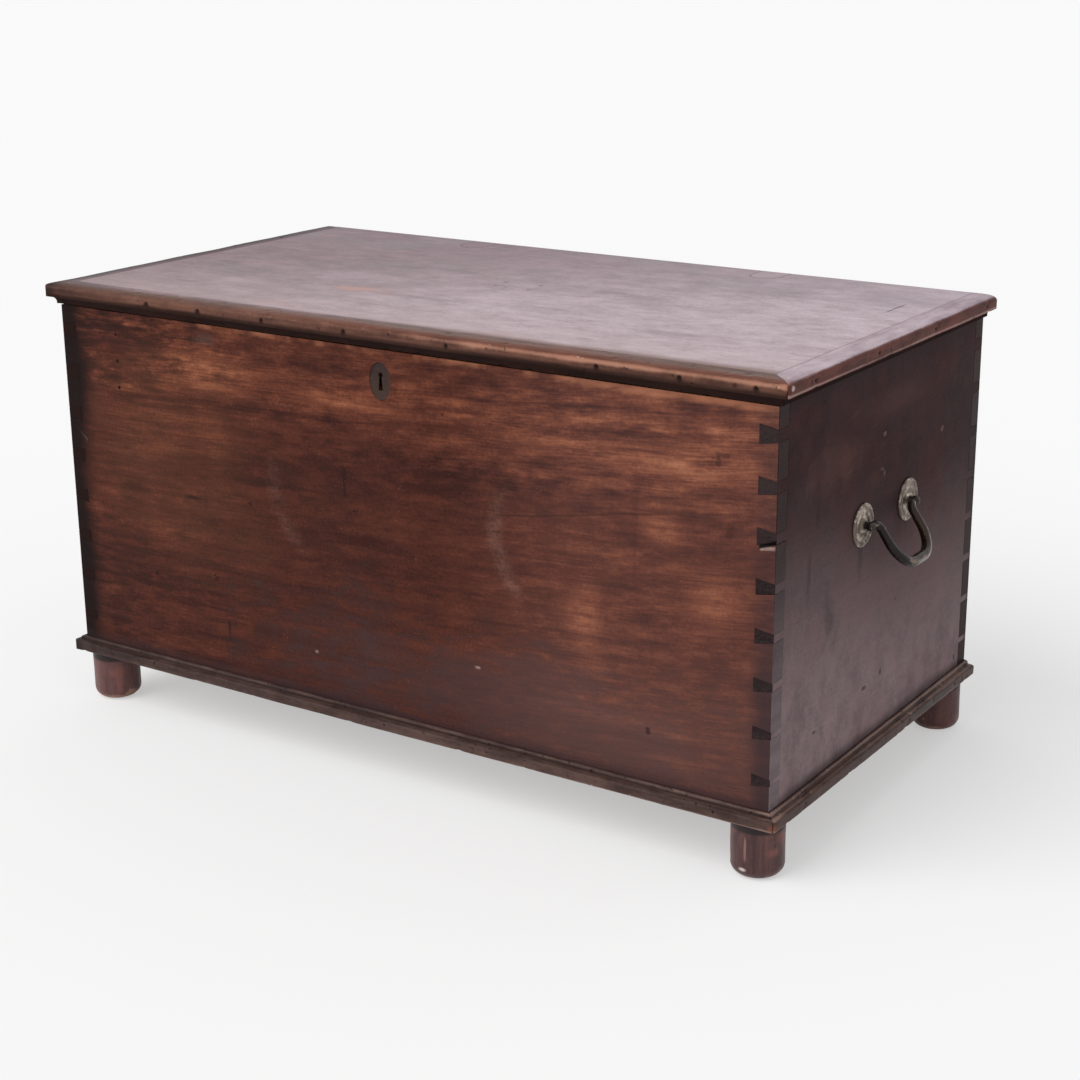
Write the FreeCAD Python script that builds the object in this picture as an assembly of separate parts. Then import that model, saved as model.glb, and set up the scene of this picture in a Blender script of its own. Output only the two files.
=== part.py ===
"""Sea chest: a dovetailed plank case on turned feet, with a moulded hinged lid.

X runs along the front (left is minus), Y runs from the front to the back, Z is up.
The origin is on the floor under the middle of the whole object. Millimetres.
"""

import FreeCAD
import Part
import math
import os

from FreeCAD import Vector

# ---- case ------------------------------------------------------------------
body_width = 1000.0           # over the end boards
body_depth = 528.0            # over the front and back boards
wall_height = 455.0           # the four walls, from the feet to the rim
board_thickness = 22.0
bottom_thickness = 12.0
bottom_rebate = 10.0          # how far the bottom is let into the walls
bottom_board_count = 3

# ---- dovetails ---------------------------------------------------------------
pin_count = 8
last_pin_rise = 50.0          # from the foot of the wall to the middle of the lowest pin
first_pin_drop = 30.5         # from the rim to the middle of the top pin
top_pin_width = 21.0          # at the wide end of the pin
bottom_pin_width = 14.0
pin_slope = 1.0 / 6.0

# ---- feet --------------------------------------------------------------------
foot_height = 66.0
foot_radius = 30.0
foot_inset = 25.0             # foot axis from the outer faces of the walls
foot_edge_radius = 13.0
foot_spigot_radius = 10.0

# ---- base moulding -----------------------------------------------------------
base_moulding_height = 18.0
base_overhang = 13.5
base_bead_radius = 2.6        # the bead against the wall
base_quirk = 1.6              # drop from the bead to the second bead

# ---- lid ---------------------------------------------------------------------
lid_thickness = 28.0
lid_moulding_width = 30.0
lid_front_overhang = 13.0
lid_end_overhang = 16.0
lid_moulding_lift = 1.2       # shadow gap between the moulding and the rim
lid_round_width = 14.0        # rounded upper edge of the nose
lid_round_height = 6.4
lid_nose_bottom = 17.5        # below the top of the lid
lid_lip_step = 4.0            # set-back under the nose
lid_cove_radius = 7.0

# ---- hinges ------------------------------------------------------------------
hinge_inset = 277.0           # hinge centre from the outer face of the end board
hinge_length = 60.0
hinge_leaf_thickness = 2.5
hinge_case_leaf_depth = 19.0
hinge_lid_leaf_depth = 42.0
hinge_lid_screw_inset = 29.0  # from the back edge of the lid
knuckle_radius = 5.0
knuckle_count = 3
hinge_pin_radius = 2.5
leaf_gap = 0.3                # between the two leaves of a shut hinge
knuckle_gap = 0.3             # between knuckles, and between knuckle and wood
patch_width = 42.0            # D-shaped inlay in the lid over each hinge
patch_depth = 50.0
patch_thickness = 5.0

# ---- lock --------------------------------------------------------------------
lock_x = 0.0
lock_width = 90.0
lock_height = 60.0
lock_plate_thickness = 2.0
lock_inner_depth = 11.0
lock_flange = 13.0
lock_top_drop = 0.5           # top of the lock below the rim
key_drop = 29.3               # key pin below the rim
key_hole_radius = 3.0
key_pin_radius = 2.0
key_slot_length = 18.0
key_slot_top_width = 3.0
key_slot_bottom_width = 6.0
keyhole_wood_margin = 0.8
escutcheon_width = 29.5
escutcheon_height = 44.0
escutcheon_drop = 36.3        # its centre below the rim
escutcheon_thickness = 1.5
escutcheon_recess = 2.0
staple_width = 9.0            # across the lock, along Y
staple_thickness = 6.0        # along X
staple_drop = 16.0
staple_wall = 2.0
staple_eye_drop = 5.0         # top of the eye below the rim
staple_slot_margin = 1.0      # free room each side of the staple in the lock
strike_length = 70.0
strike_thickness = 2.5
strike_margin = 3.0           # plate past the staple, front and back
bolt_throw = 10.0
bolt_overthrow = 1.0          # finger length beyond what the throw uses
bolt_length = 24.0
bolt_height = 13.5
bolt_top_drop = 6.5
bolt_finger_height = 5.0
bolt_finger_clearance = 0.7   # beside the finger in the eye of the staple
bolt_arm_length = 30.0
bolt_arm_height = 2.8
bolt_clearance = 0.15         # below the bolt and beside it
bolt_to_staple = 2.0          # tip of the withdrawn bolt to the staple
talon_width = 8.0             # notch in the arm that the key turns in
talon_depth = 1.7
ledge_to_bolt_tip = 4.0
lock_post_radius = 3.5

# ---- end handles ---------------------------------------------------------------
handle_height = 345.5         # axis of the bail above the floor
handle_spacing = 119.0        # between the two eyes
handle_standoff = 10.5        # axis of the bail from the end board
handle_lean = 35.0            # the bail as it stands, degrees out from hanging
rose_radius = 25.0
rose_plate_height = 1.8       # the flat of the rose between its raised rings
rose_rim_height = 3.2
rose_rim_round = 2.4
rose_rim_width = 4.4
rose_ring_radius = 15.0
rose_ring_half_width = 3.0
rose_ring_height = 3.2
rose_boss_radius = 8.5
rose_boss_height = 4.6
eye_radius = 5.5
post_radius = 4.0
post_end = 2.0                # end of the post past its nut
bail_pin_radius = 3.5
bail_leg_inset = 17.0         # from the middle of an eye in to the leg
bail_drop = 57.0              # axis to the middle of the grip
bail_leg_radius = 5.0
bail_grip_radius = 6.4
bail_neck = 2.0               # straight from the shoulder to the elbow
bail_corner_radius = 28.0
bail_pin_stub = 1.0           # how far the pin shows past the eye
bail_shoulder_gap = 0.5       # shoulder of the bail to the eye
nut_width = 16.0
nut_thickness = 6.0

# ---- till --------------------------------------------------------------------
till_board_centre = 91.0      # from the outer face of the left end board
till_board_thickness = 12.0
till_top_drop = 16.0          # below the rim
till_depth = 105.0
till_bottom_thickness = 10.0
till_groove = 5.0             # how far the till is let into the walls

# ---- fasteners -----------------------------------------------------------------
running_clearance = 0.05
nail_radius = 1.2
nail_head_radius = 2.2
nail_head_height = 1.0
nail_length = 32.0
lid_nail_drop = 12.0          # below the top of the lid
lid_front_nails = (0.158, 0.241, 0.339, 0.46, 0.602, 0.794, 0.893, 0.98)  # shares of the width
end_nail_count = 4
base_nail_count = 7
base_nail_drop = 10.0         # below the top of the moulding
base_nail_stop = 1.5          # point of the nail to the edge of the bottom
bottom_nail_count = 7
till_nail_count = 3
screw_radius = 1.9
screw_head_radius = 3.8
screw_head_height = 2.0
screw_length = 15.0
screw_slot_width = 0.9
screw_slot_depth = 0.8
cap_screw_radius = 1.4
cap_screw_length = 9.0

# ---- places worked out from the sizes ------------------------------------------
hinge_offset = knuckle_radius + knuckle_gap
front_reach = max(base_overhang, lid_front_overhang)
back_reach = hinge_offset + knuckle_radius
y_front = -body_depth / 2 + (front_reach - back_reach) / 2
y_back = y_front + body_depth
y_middle = (y_front + y_back) / 2
y_inner = y_front + board_thickness
y_inner_back = y_back - board_thickness
x_end = body_width / 2
x_inner = x_end - board_thickness
z_base = foot_height
z_rim = z_base + wall_height
z_top = z_rim + lid_thickness
z_floor_board = z_base + bottom_thickness
z_base_moulding = z_base + base_moulding_height
y_hinge = y_back + hinge_offset
lid_x_inner = x_end + lid_end_overhang - lid_moulding_width
lid_y_inner = y_front - lid_front_overhang + lid_moulding_width
hinge_xs = (-x_end + hinge_inset, x_end - hinge_inset)
lock_top = z_rim - lock_top_drop
lock_depth = lock_plate_thickness + lock_inner_depth
z_key = z_rim - key_drop
x_till = -x_end + till_board_centre
z_till_top = z_rim - till_top_drop
z_till_bottom = z_till_top - till_depth
pin_pitch = (wall_height - first_pin_drop - last_pin_rise) / (pin_count - 1)
bail_leg_spacing = handle_spacing - 2 * bail_leg_inset
bail_elbow_radius = bail_leg_inset - eye_radius - bail_shoulder_gap - bail_neck

FAR = 4 * (body_width + body_depth)
CUT = 1.0                     # how far a cutting shape runs past the face it cuts
QUARTER = 0.5523              # pull of a Bezier quarter round towards its corner
X, Y, Z = Vector(1, 0, 0), Vector(0, 1, 0), Vector(0, 0, 1)


# ---- helpers -------------------------------------------------------------------
def box(x0, x1, y0, y1, z0, z1):
    """Box between the two given corners."""
    return Part.makeBox(x1 - x0, y1 - y0, z1 - z0, Vector(x0, y0, z0))


def cylinder(radius, length, start, axis):
    return Part.makeCylinder(radius, length, start, axis)


def prism(points, direction):
    """Straight-sided outline pushed along a direction."""
    return Part.Face(Part.makePolygon(points + points[:1])).extrude(direction)


def fused(shapes):
    """One solid from touching or overlapping shapes."""
    whole = shapes[0]
    if len(shapes) > 1:
        whole = shapes[0].fuse(shapes[1:])
    return whole.removeSplitter()


def quarter_round(start, corner, end):
    """Quarter of an ellipse from start to end, square to both sides of the corner."""
    curve = Part.BezierCurve()
    pulls = [point + (corner - point) * QUARTER for point in (start, end)]
    curve.setPoles([start, *pulls, end])
    return curve.toShape()


def outline_face(start, steps):
    """Closed face in the X = 0 plane from (out, up) points.

    A step with one point is a straight line to it; a step with a corner and an end
    is a quarter round. The last straight line goes back to the start.
    """
    edges = []
    here = Vector(0, -start[0], start[1])
    for step in steps + [[start]]:
        points = [Vector(0, -out, up) for out, up in step]
        if len(points) == 2:
            edges.append(quarter_round(here, *points))
        else:
            edges.append(Part.LineSegment(here, points[0]).toShape())
        here = points[-1]
    return Part.Face(Part.Wire(edges))


def group(shapes):
    """Separate solids that share one node."""
    return Part.makeCompound([solid for shape in shapes for solid in shape.Solids])


def half_space(point, angle):
    """Everything past a vertical plane; angle is the plane's outward direction."""
    block = box(0, FAR, -FAR, FAR, -FAR, FAR)
    block.rotate(Vector(0, 0, 0), Z, angle)
    block.translate(point)
    return block


def mirrored(shape):
    """The same piece for the other end of the chest."""
    return shape.mirror(Vector(0, 0, 0), X)


def spread(low, high, count):
    """Evenly spaced places from low to high, both included."""
    if count == 1:
        return [(low + high) / 2]
    return [low + (high - low) * i / (count - 1) for i in range(count)]


def nail(head, direction, length=nail_length):
    """Cut nail with a small round head, flush at the point given."""
    shank = cylinder(nail_radius, length, head, direction)
    return fused([shank, cylinder(nail_head_radius, nail_head_height, head, direction)])


def screw(head, direction, slot, length=screw_length, radius=screw_radius):
    """Countersunk slotted screw; its head is flush at the point given."""
    head_radius = screw_head_radius * radius / screw_radius
    cone = Part.makeCone(head_radius, radius, screw_head_height, head, direction)
    body = fused([cone, cylinder(radius, length, head, direction)])
    across = direction.cross(slot)
    corner = head - slot * head_radius - across * (screw_slot_width / 2)
    points = [
        corner,
        corner + slot * (2 * head_radius),
        corner + slot * (2 * head_radius) + across * screw_slot_width,
        corner + across * screw_slot_width,
    ]
    return body.cut(prism(points, direction * screw_slot_depth))


# ---- case boards -----------------------------------------------------------------
def pin_places():
    """Height and wide-end width of each dovetail pin, from the rim down."""
    widths = spread(top_pin_width, bottom_pin_width, pin_count)
    return [(z_rim - first_pin_drop - i * pin_pitch, w) for i, w in enumerate(widths)]


def dovetail_pins(y0):
    """Pins of the right end board, filling the corner from y0 over one thickness."""
    pins = []
    for z, wide in pin_places():
        narrow = wide - 2 * board_thickness * pin_slope
        points = [
            Vector(x_inner, y0, z - wide / 2),
            Vector(x_end, y0, z - narrow / 2),
            Vector(x_end, y0, z + narrow / 2),
            Vector(x_inner, y0, z + wide / 2),
        ]
        pins.append(prism(points, Y * board_thickness))
    return pins


def bottom_panel():
    """Room that the bottom takes up, let into the walls."""
    edge = board_thickness - bottom_rebate
    return box(-x_end + edge, x_end - edge, y_front + edge, y_back - edge, z_base, z_floor_board)


def till_groove_room():
    """Room of the till's two boards, run into the walls by the groove depth."""
    half = till_board_thickness / 2
    y0, y1 = y_inner - till_groove, y_inner_back + till_groove
    side = box(x_till - half, x_till + half, y0, y1, z_till_bottom, z_till_top)
    floor = box(-x_inner - till_groove, x_till - half, y0, y1,
                z_till_bottom, z_till_bottom + till_bottom_thickness)
    return side, floor


def tail_board(y0):
    """Front or back board: the tails at both ends, grooved for bottom and till."""
    board = box(-x_end, x_end, y0, y0 + board_thickness, z_base, z_rim)
    pins = dovetail_pins(y0)
    board = board.cut(pins + [mirrored(pin) for pin in pins])
    return board.cut([bottom_panel(), *till_groove_room()])


def end_board():
    """Right end board, with its pins at the front and back corners."""
    board = box(x_inner, x_end, y_inner, y_inner_back, z_base, z_rim)
    whole = fused([board, *dovetail_pins(y_front), *dovetail_pins(y_inner_back)])
    return whole.cut(bottom_panel())


def bottom_boards():
    """Bottom boards side by side, each running the length of the chest."""
    room = bottom_panel().BoundBox
    edges = spread(room.YMin, room.YMax, bottom_board_count + 1)
    boards = []
    for y0, y1 in zip(edges, edges[1:]):
        boards.append(box(room.XMin, room.XMax, y0, y1, room.ZMin, room.ZMax))
    return boards


# ---- feet --------------------------------------------------------------------------
def foot(x, y):
    """Turned foot: a plain drum, round at the floor, with a spigot into the bottom."""
    half = outline_face((0, 0), [
        [(foot_radius - foot_edge_radius, 0)],
        [(foot_radius, 0), (foot_radius, foot_edge_radius)],
        [(foot_radius, foot_height)],
        [(0, foot_height)],
    ])
    drum = half.revolve(Vector(0, 0, 0), Z, 360)
    spigot = cylinder(foot_spigot_radius, foot_height + bottom_thickness, Vector(0, 0, 0), Z)
    whole = fused([drum, spigot])
    whole.translate(Vector(x, y, 0))
    return whole


def foot_places():
    return {
        "foot_front_left": (-x_end + foot_inset, y_front + foot_inset),
        "foot_front_right": (x_end - foot_inset, y_front + foot_inset),
        "foot_back_left": (-x_end + foot_inset, y_back - foot_inset),
        "foot_back_right": (x_end - foot_inset, y_back - foot_inset),
    }


# ---- mouldings -----------------------------------------------------------------------
def base_profile():
    """Two small beads stepping out and down to a round nose with an eased foot."""
    bead = base_bead_radius
    second = 2 * bead
    bead_low = base_moulding_height - bead
    nose_top = bead_low - base_quirk
    return outline_face((0, 0), [
        [(0, base_moulding_height)],
        [(bead, base_moulding_height)],
        [(second, base_moulding_height), (second, bead_low)],
        [(second, nose_top)],
        [(base_overhang, nose_top), (base_overhang, nose_top - bead)],
        [(base_overhang, bead)],
        [(base_overhang, 0), (base_overhang - bead, 0)],
    ])


def lid_profile(nose):
    """Rounded nose over a stepped cove; the nose stands out this far from the wall."""
    inner = nose - lid_moulding_width
    nose_low = lid_thickness - lid_nose_bottom
    lip = nose - lid_lip_step
    ease = lid_lip_step / 2
    cove_end = lip - lid_cove_radius
    return outline_face((inner, lid_moulding_lift), [
        [(inner, lid_thickness)],
        [(nose - lid_round_width, lid_thickness)],
        [(nose, lid_thickness), (nose, lid_thickness - lid_round_height)],
        [(nose, nose_low + ease)],
        [(nose, nose_low), (nose - ease, nose_low)],
        [(lip, nose_low)],
        [(cove_end, nose_low), (cove_end, nose_low - lid_cove_radius)],
        [(cove_end, lid_moulding_lift)],
    ])


def front_moulding(profile, z):
    """Moulding along the front, left long at both ends for the mitres."""
    run = profile.extrude(X * 2 * body_width)
    run.translate(Vector(-body_width, y_front, z))
    return run


def end_moulding(profile, z):
    """Moulding along the right end, square at the back and long at the front."""
    length = 2 * body_depth
    run = profile.extrude(X * length)
    run.rotate(Vector(0, 0, 0), Z, 90)
    run.translate(Vector(x_end, y_back - length, z))
    return run


def mitred(front, end, corner_x, corner_y):
    """Cut the front run and the right-hand run along one 45 degree plane."""
    corner = Vector(corner_x, corner_y, 0)
    other = Vector(-corner_x, corner_y, 0)
    front = front.cut([half_space(corner, 45), half_space(other, 135)])
    return front, end.cut(half_space(corner, 225))


def base_mouldings():
    profile = base_profile()
    front, end = front_moulding(profile, z_base), end_moulding(profile, z_base)
    return mitred(front, end, x_end, y_front)


def lid_mouldings():
    front = front_moulding(lid_profile(lid_front_overhang), z_rim)
    end = end_moulding(lid_profile(lid_end_overhang), z_rim)
    return mitred(front, end, lid_x_inner, lid_y_inner)


# ---- lid -------------------------------------------------------------------------------
def lid_board():
    return box(-lid_x_inner, lid_x_inner, lid_y_inner, y_back, z_rim, z_top)


def hinge_patch(x):
    """D-shaped inlay, its round end to the front, flush with the top of the lid."""
    half = patch_width / 2
    y_round = y_back - patch_depth + half
    block = box(x - half, x + half, y_round, y_back, z_top - patch_thickness, z_top)
    disc = cylinder(half, patch_thickness, Vector(x, y_round, z_top - patch_thickness), Z)
    return fused([block, disc])


# ---- hinges ------------------------------------------------------------------------------
def knuckle_edges(x):
    return spread(x - hinge_length / 2, x + hinge_length / 2, knuckle_count + 1)


def hinge_leaf(x, y0, z0, own):
    """Leaf from y0 back to the knuckles numbered in own, at height z0."""
    z1 = z0 + hinge_leaf_thickness
    plate = box(x - hinge_length / 2, x + hinge_length / 2, y0, y_back, z0, z1)
    pieces = [plate]
    edges = knuckle_edges(x)
    for i in own:
        low = edges[i] + (knuckle_gap / 2 if i > 0 else 0)
        high = edges[i + 1] - (knuckle_gap / 2 if i < knuckle_count - 1 else 0)
        pieces.append(box(low, high, y_back - hinge_leaf_thickness, y_hinge, z0, z1))
        pieces.append(cylinder(knuckle_radius, high - low, Vector(low, y_hinge, z_rim), X))
    bore = cylinder(hinge_pin_radius + running_clearance, hinge_length,
                    Vector(x - hinge_length / 2, y_hinge, z_rim), X)
    return fused(pieces).cut(bore)


def hinge_case_leaf(x):
    own = range(0, knuckle_count, 2)
    z0 = z_rim - leaf_gap / 2 - hinge_leaf_thickness
    return hinge_leaf(x, y_back - hinge_case_leaf_depth, z0, own)


def hinge_lid_leaf(x):
    own = range(1, knuckle_count, 2)
    return hinge_leaf(x, y_back - hinge_lid_leaf_depth, z_rim + leaf_gap / 2, own)


def hinge_pin(x):
    return cylinder(hinge_pin_radius, hinge_length, Vector(x - hinge_length / 2, y_hinge, z_rim), X)


def hinge_screw_xs(x):
    reach = hinge_length / 2 - 2 * screw_head_radius
    return spread(x - reach, x + reach, 3)


def hinge_case_screws():
    y = y_back - hinge_case_leaf_depth / 2
    head = z_rim - leaf_gap / 2
    return [screw(Vector(sx, y, head), -Z, X) for x in hinge_xs for sx in hinge_screw_xs(x)]


def hinge_lid_screws():
    y = y_back - hinge_lid_screw_inset
    head = z_rim + leaf_gap / 2
    return [screw(Vector(sx, y, head), Z, X) for x in hinge_xs for sx in hinge_screw_xs(x)]


# ---- lock --------------------------------------------------------------------------------
def keyhole(y0, y1, margin):
    """Round hole for the pin with the slot for the bit flaring below it."""
    radius = key_hole_radius + margin
    top, low = key_slot_top_width / 2 + margin, key_slot_bottom_width / 2 + margin
    bottom = z_key - key_slot_length - margin
    points = [
        Vector(lock_x - top, y0, z_key),
        Vector(lock_x + top, y0, z_key),
        Vector(lock_x + low, y0, bottom),
        Vector(lock_x - low, y0, bottom),
    ]
    hole = cylinder(radius, y1 - y0, Vector(lock_x, y0, z_key), Y)
    return fused([hole, prism(points, Y * (y1 - y0))])


def oval(width, height, y0, depth):
    """Upright oval plate in the place of the escutcheon, from y0 back over the depth."""
    def at(across, up):
        z = z_rim - escutcheon_drop + up * height / 2
        return Vector(lock_x + across * width / 2, y0, z)

    ends = [(1, 0), (0, 1), (-1, 0), (0, -1), (1, 0)]
    edges = [quarter_round(at(*a), at(a[0] + b[0], a[1] + b[1]), at(*b))
             for a, b in zip(ends, ends[1:])]
    return Part.Face(Part.Wire(edges)).extrude(Y * depth)


def escutcheon():
    y0 = y_front + escutcheon_recess - escutcheon_thickness
    plate = oval(escutcheon_width, escutcheon_height, y0, escutcheon_thickness)
    return plate.cut(keyhole(y0 - CUT, y_inner, 0))


def escutcheon_recess_room():
    return oval(escutcheon_width, escutcheon_height, y_front - CUT, escutcheon_recess + CUT)


def lock_post_places():
    reach = lock_width / 2 - lock_plate_thickness - 2 * lock_post_radius
    z = lock_top - lock_height + lock_plate_thickness + 2 * lock_post_radius
    return [(lock_x - reach, z), (lock_x + reach, z)]


def staple_room():
    """Slot in the top of the lock that the staple drops through."""
    half = staple_thickness / 2 + staple_slot_margin
    y0 = y_inner + lock_plate_thickness
    return box(lock_x - half, lock_x + half, y0, y0 + lock_inner_depth,
               lock_top - 2 * lock_plate_thickness, lock_top + CUT)


def bolt_ledges():
    """Two ledges that the bolt and its arm slide on."""
    inner = lock_width / 2 - lock_plate_thickness
    gap = staple_thickness / 2 + bolt_to_staple + ledge_to_bolt_tip
    z1 = z_rim - bolt_top_drop - bolt_height - bolt_clearance
    z0 = z1 - lock_plate_thickness
    y0 = y_inner + lock_plate_thickness
    y1 = y_inner + lock_depth
    return [
        box(lock_x - inner, lock_x - gap, y0, y1, z0, z1),
        box(lock_x + gap, lock_x + inner, y0, y1, z0, z1),
    ]


def lock_case():
    """Plate on the front board with the four walls, ledges and posts of the lock."""
    half = lock_width / 2
    t = lock_plate_thickness
    low = lock_top - lock_height
    plate = box(lock_x - half - lock_flange, lock_x + half + lock_flange, y_inner, y_inner + t,
                low, lock_top)
    block = box(lock_x - half, lock_x + half, y_inner, y_inner + lock_depth, low, lock_top)
    hollow = box(lock_x - half + t, lock_x + half - t, y_inner + t, y_inner + lock_depth + CUT,
                 low + t, lock_top - t)
    posts = [
        cylinder(lock_post_radius, lock_depth, Vector(x, y_inner, z), Y)
        for x, z in lock_post_places()
    ]
    case = fused([plate, block.cut(hollow), *posts, *bolt_ledges()])
    hole = keyhole(y_inner - CUT, y_inner + t + CUT, keyhole_wood_margin)
    return case.cut([staple_room(), hole])


def lock_cap():
    """Cover on the side of the lock that faces the inside of the chest."""
    half = lock_width / 2
    y0 = y_inner + lock_depth
    return box(lock_x - half, lock_x + half, y0, y0 + lock_plate_thickness,
               lock_top - lock_height, lock_top)


def lock_key_pin():
    """Pin that the pipe of the key turns on, riveted in the cap."""
    length = lock_depth + lock_plate_thickness
    return cylinder(key_pin_radius, length, Vector(lock_x, y_inner, z_key), Y)


def lock_bolt():
    """Sliding bolt, drawn back: body, finger for the staple, arm with its talon."""
    y0 = y_inner + lock_plate_thickness + bolt_clearance
    y1 = y_inner + lock_depth - bolt_clearance
    y_mid = (y0 + y1) / 2
    tip = lock_x - staple_thickness / 2 - bolt_to_staple
    shoulder = tip - (bolt_throw - bolt_to_staple + bolt_overthrow)
    z1 = z_rim - bolt_top_drop
    z0 = z1 - bolt_height
    finger_half = staple_width / 2 - staple_wall - bolt_finger_clearance
    body = box(shoulder - bolt_length, shoulder, y0, y1, z0, z1)
    finger = box(shoulder - bolt_length / 2, tip, y_mid - finger_half, y_mid + finger_half,
                 z1 - bolt_finger_height, z1)
    arm = box(shoulder - bolt_length / 2, shoulder + bolt_arm_length, y0, y1,
              z0, z0 + bolt_arm_height)
    talon = box(lock_x - talon_width / 2, lock_x + talon_width / 2, y0, y1,
                z0 - CUT, z0 + talon_depth)
    return fused([body, finger, arm]).cut(talon)


def lid_strike():
    """Plate let into the lid with the staple that drops into the lock."""
    y_mid = y_inner + lock_plate_thickness + lock_inner_depth / 2
    half = strike_length / 2
    half_width = staple_width / 2
    plate_half = half_width + strike_margin
    plate = box(lock_x - half, lock_x + half, y_mid - plate_half, y_mid + plate_half,
                z_rim, z_rim + strike_thickness)
    staple = box(lock_x - staple_thickness / 2, lock_x + staple_thickness / 2,
                 y_mid - half_width, y_mid + half_width, z_rim - staple_drop, z_rim)
    eye = box(lock_x - staple_thickness, lock_x + staple_thickness,
              y_mid - half_width + staple_wall, y_mid + half_width - staple_wall,
              z_rim - staple_drop + staple_wall, z_rim - staple_eye_drop)
    return fused([plate, staple]).cut(eye)


def lid_strike_screws():
    y_mid = y_inner + lock_plate_thickness + lock_inner_depth / 2
    reach = strike_length / 2 - 2 * screw_head_radius
    return [screw(Vector(lock_x + s * reach, y_mid, z_rim), Z, X) for s in (-1, 1)]


def lock_screws():
    """Four screws through the flanges into the front board."""
    reach = lock_width / 2 + lock_flange / 2
    y = y_inner + lock_plate_thickness
    heights = (lock_top - lock_flange, lock_top - lock_height + lock_flange)
    return [screw(Vector(lock_x + s * reach, y, z), -Y, X) for s in (-1, 1) for z in heights]


def lock_cap_screws():
    """Two small screws through the cap into the posts of the case."""
    y = y_inner + lock_depth + lock_plate_thickness
    return [screw(Vector(x, y, z), -Y, X, cap_screw_length, cap_screw_radius)
            for x, z in lock_post_places()]


# ---- end handles -----------------------------------------------------------------------------
def eye_ys():
    return (y_middle - handle_spacing / 2, y_middle + handle_spacing / 2)


def rose(y):
    """Turned disc with a raised rim, a ring and a boss, flat on the end board."""
    ring_out = rose_ring_radius + rose_ring_half_width
    ring_in = rose_ring_radius - rose_ring_half_width
    half = outline_face((post_radius, 0), [
        [(rose_radius, 0)],
        [(rose_radius, rose_plate_height)],
        [(rose_radius, rose_rim_height), (rose_radius - rose_rim_round, rose_rim_height)],
        [(rose_radius - rose_rim_width, rose_plate_height)],
        [(ring_out, rose_plate_height)],
        [(ring_out, rose_ring_height), (rose_ring_radius, rose_ring_height)],
        [(ring_in, rose_ring_height), (ring_in, rose_plate_height)],
        [(rose_boss_radius, rose_plate_height)],
        [(rose_boss_radius, rose_boss_height), (post_radius, rose_boss_height)],
    ])
    disc = half.revolve(Vector(0, 0, 0), Z, 360)
    disc.rotate(Vector(0, 0, 0), Y, 90)
    disc.translate(Vector(x_end, y, handle_height))
    return disc


def eye_post(y):
    """Post through rose, wall and nut, with the round eye that the bail turns in."""
    start = x_inner - nut_thickness - post_end
    length = x_end + handle_standoff - start
    post = cylinder(post_radius, length, Vector(start, y, handle_height), X)
    centre = Vector(x_end + handle_standoff, y, handle_height)
    eye = Part.makeSphere(eye_radius, centre)
    bore = cylinder(bail_pin_radius + running_clearance, 4 * eye_radius,
                    centre - Y * (2 * eye_radius), Y)
    return fused([post, eye]).cut(bore)


def post_hole(y):
    """Room of a post through the right end board and its nut."""
    start = x_inner - nut_thickness - CUT
    return cylinder(post_radius, x_end + CUT - start, Vector(start, y, handle_height), X)


def post_nut(y):
    """Square nut against the inside of the end board."""
    half = nut_width / 2
    block = box(x_inner - nut_thickness, x_inner, y - half, y + half,
                handle_height - half, handle_height + half)
    return block.cut(post_hole(y))


def quarter_bend(radius, y, z, out, up):
    """Quarter of a bent round bar, its centre at (y, z), towards the given signs."""
    ring = Part.makeTorus(radius, bail_leg_radius, Vector(0, y, z), X)
    reach = radius + bail_leg_radius
    ys, zs = sorted((y, y + out * reach)), sorted((z, z + up * reach))
    return ring.common(box(-bail_leg_radius, bail_leg_radius, *ys, *zs))


def bail_side(side):
    """One side of the bail: pin, shoulder, elbow, leg and lower corner."""
    half = bail_leg_spacing / 2
    start = half + bail_elbow_radius
    eye = handle_spacing / 2
    pin_end = eye + math.sqrt(eye_radius ** 2 - bail_pin_radius ** 2) + bail_pin_stub
    shoulder = eye - eye_radius - bail_shoulder_gap
    leg = bail_drop - bail_corner_radius - bail_elbow_radius
    top = Vector(0, side * start, 0)
    return [
        cylinder(bail_pin_radius, pin_end - start, top, Y * side),
        cylinder(bail_leg_radius, shoulder - start, top, Y * side),
        quarter_bend(bail_elbow_radius, side * start, -bail_elbow_radius, -side, 1),
        cylinder(bail_leg_radius, leg, Vector(0, side * half, -bail_elbow_radius), -Z),
        quarter_bend(bail_corner_radius, side * (half - bail_corner_radius),
                     bail_corner_radius - bail_drop, side, -1),
    ]


def bail():
    """Drop handle at the right end, leaning out from where it would hang."""
    grip = bail_grip(bail_leg_spacing / 2 - bail_corner_radius)
    whole = fused([*bail_side(-1), grip, *bail_side(1)])
    whole.rotate(Vector(0, 0, 0), Y, -handle_lean)
    whole.translate(Vector(x_end + handle_standoff, y_middle, handle_height))
    return whole


def bail_grip(reach):
    """Middle of the bail, swelling from the leg radius to the grip radius."""
    def place(along, radius):
        return Vector(0, along, -bail_drop + radius)

    swell = Part.Arc(place(-reach, bail_leg_radius), place(0, bail_grip_radius),
                     place(reach, bail_leg_radius)).toShape()
    edges = [
        swell,
        Part.LineSegment(place(reach, bail_leg_radius), place(reach, 0)).toShape(),
        Part.LineSegment(place(reach, 0), place(-reach, 0)).toShape(),
        Part.LineSegment(place(-reach, 0), place(-reach, bail_leg_radius)).toShape(),
    ]
    return Part.Face(Part.Wire(edges)).revolve(place(0, 0), Y, 360)


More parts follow.
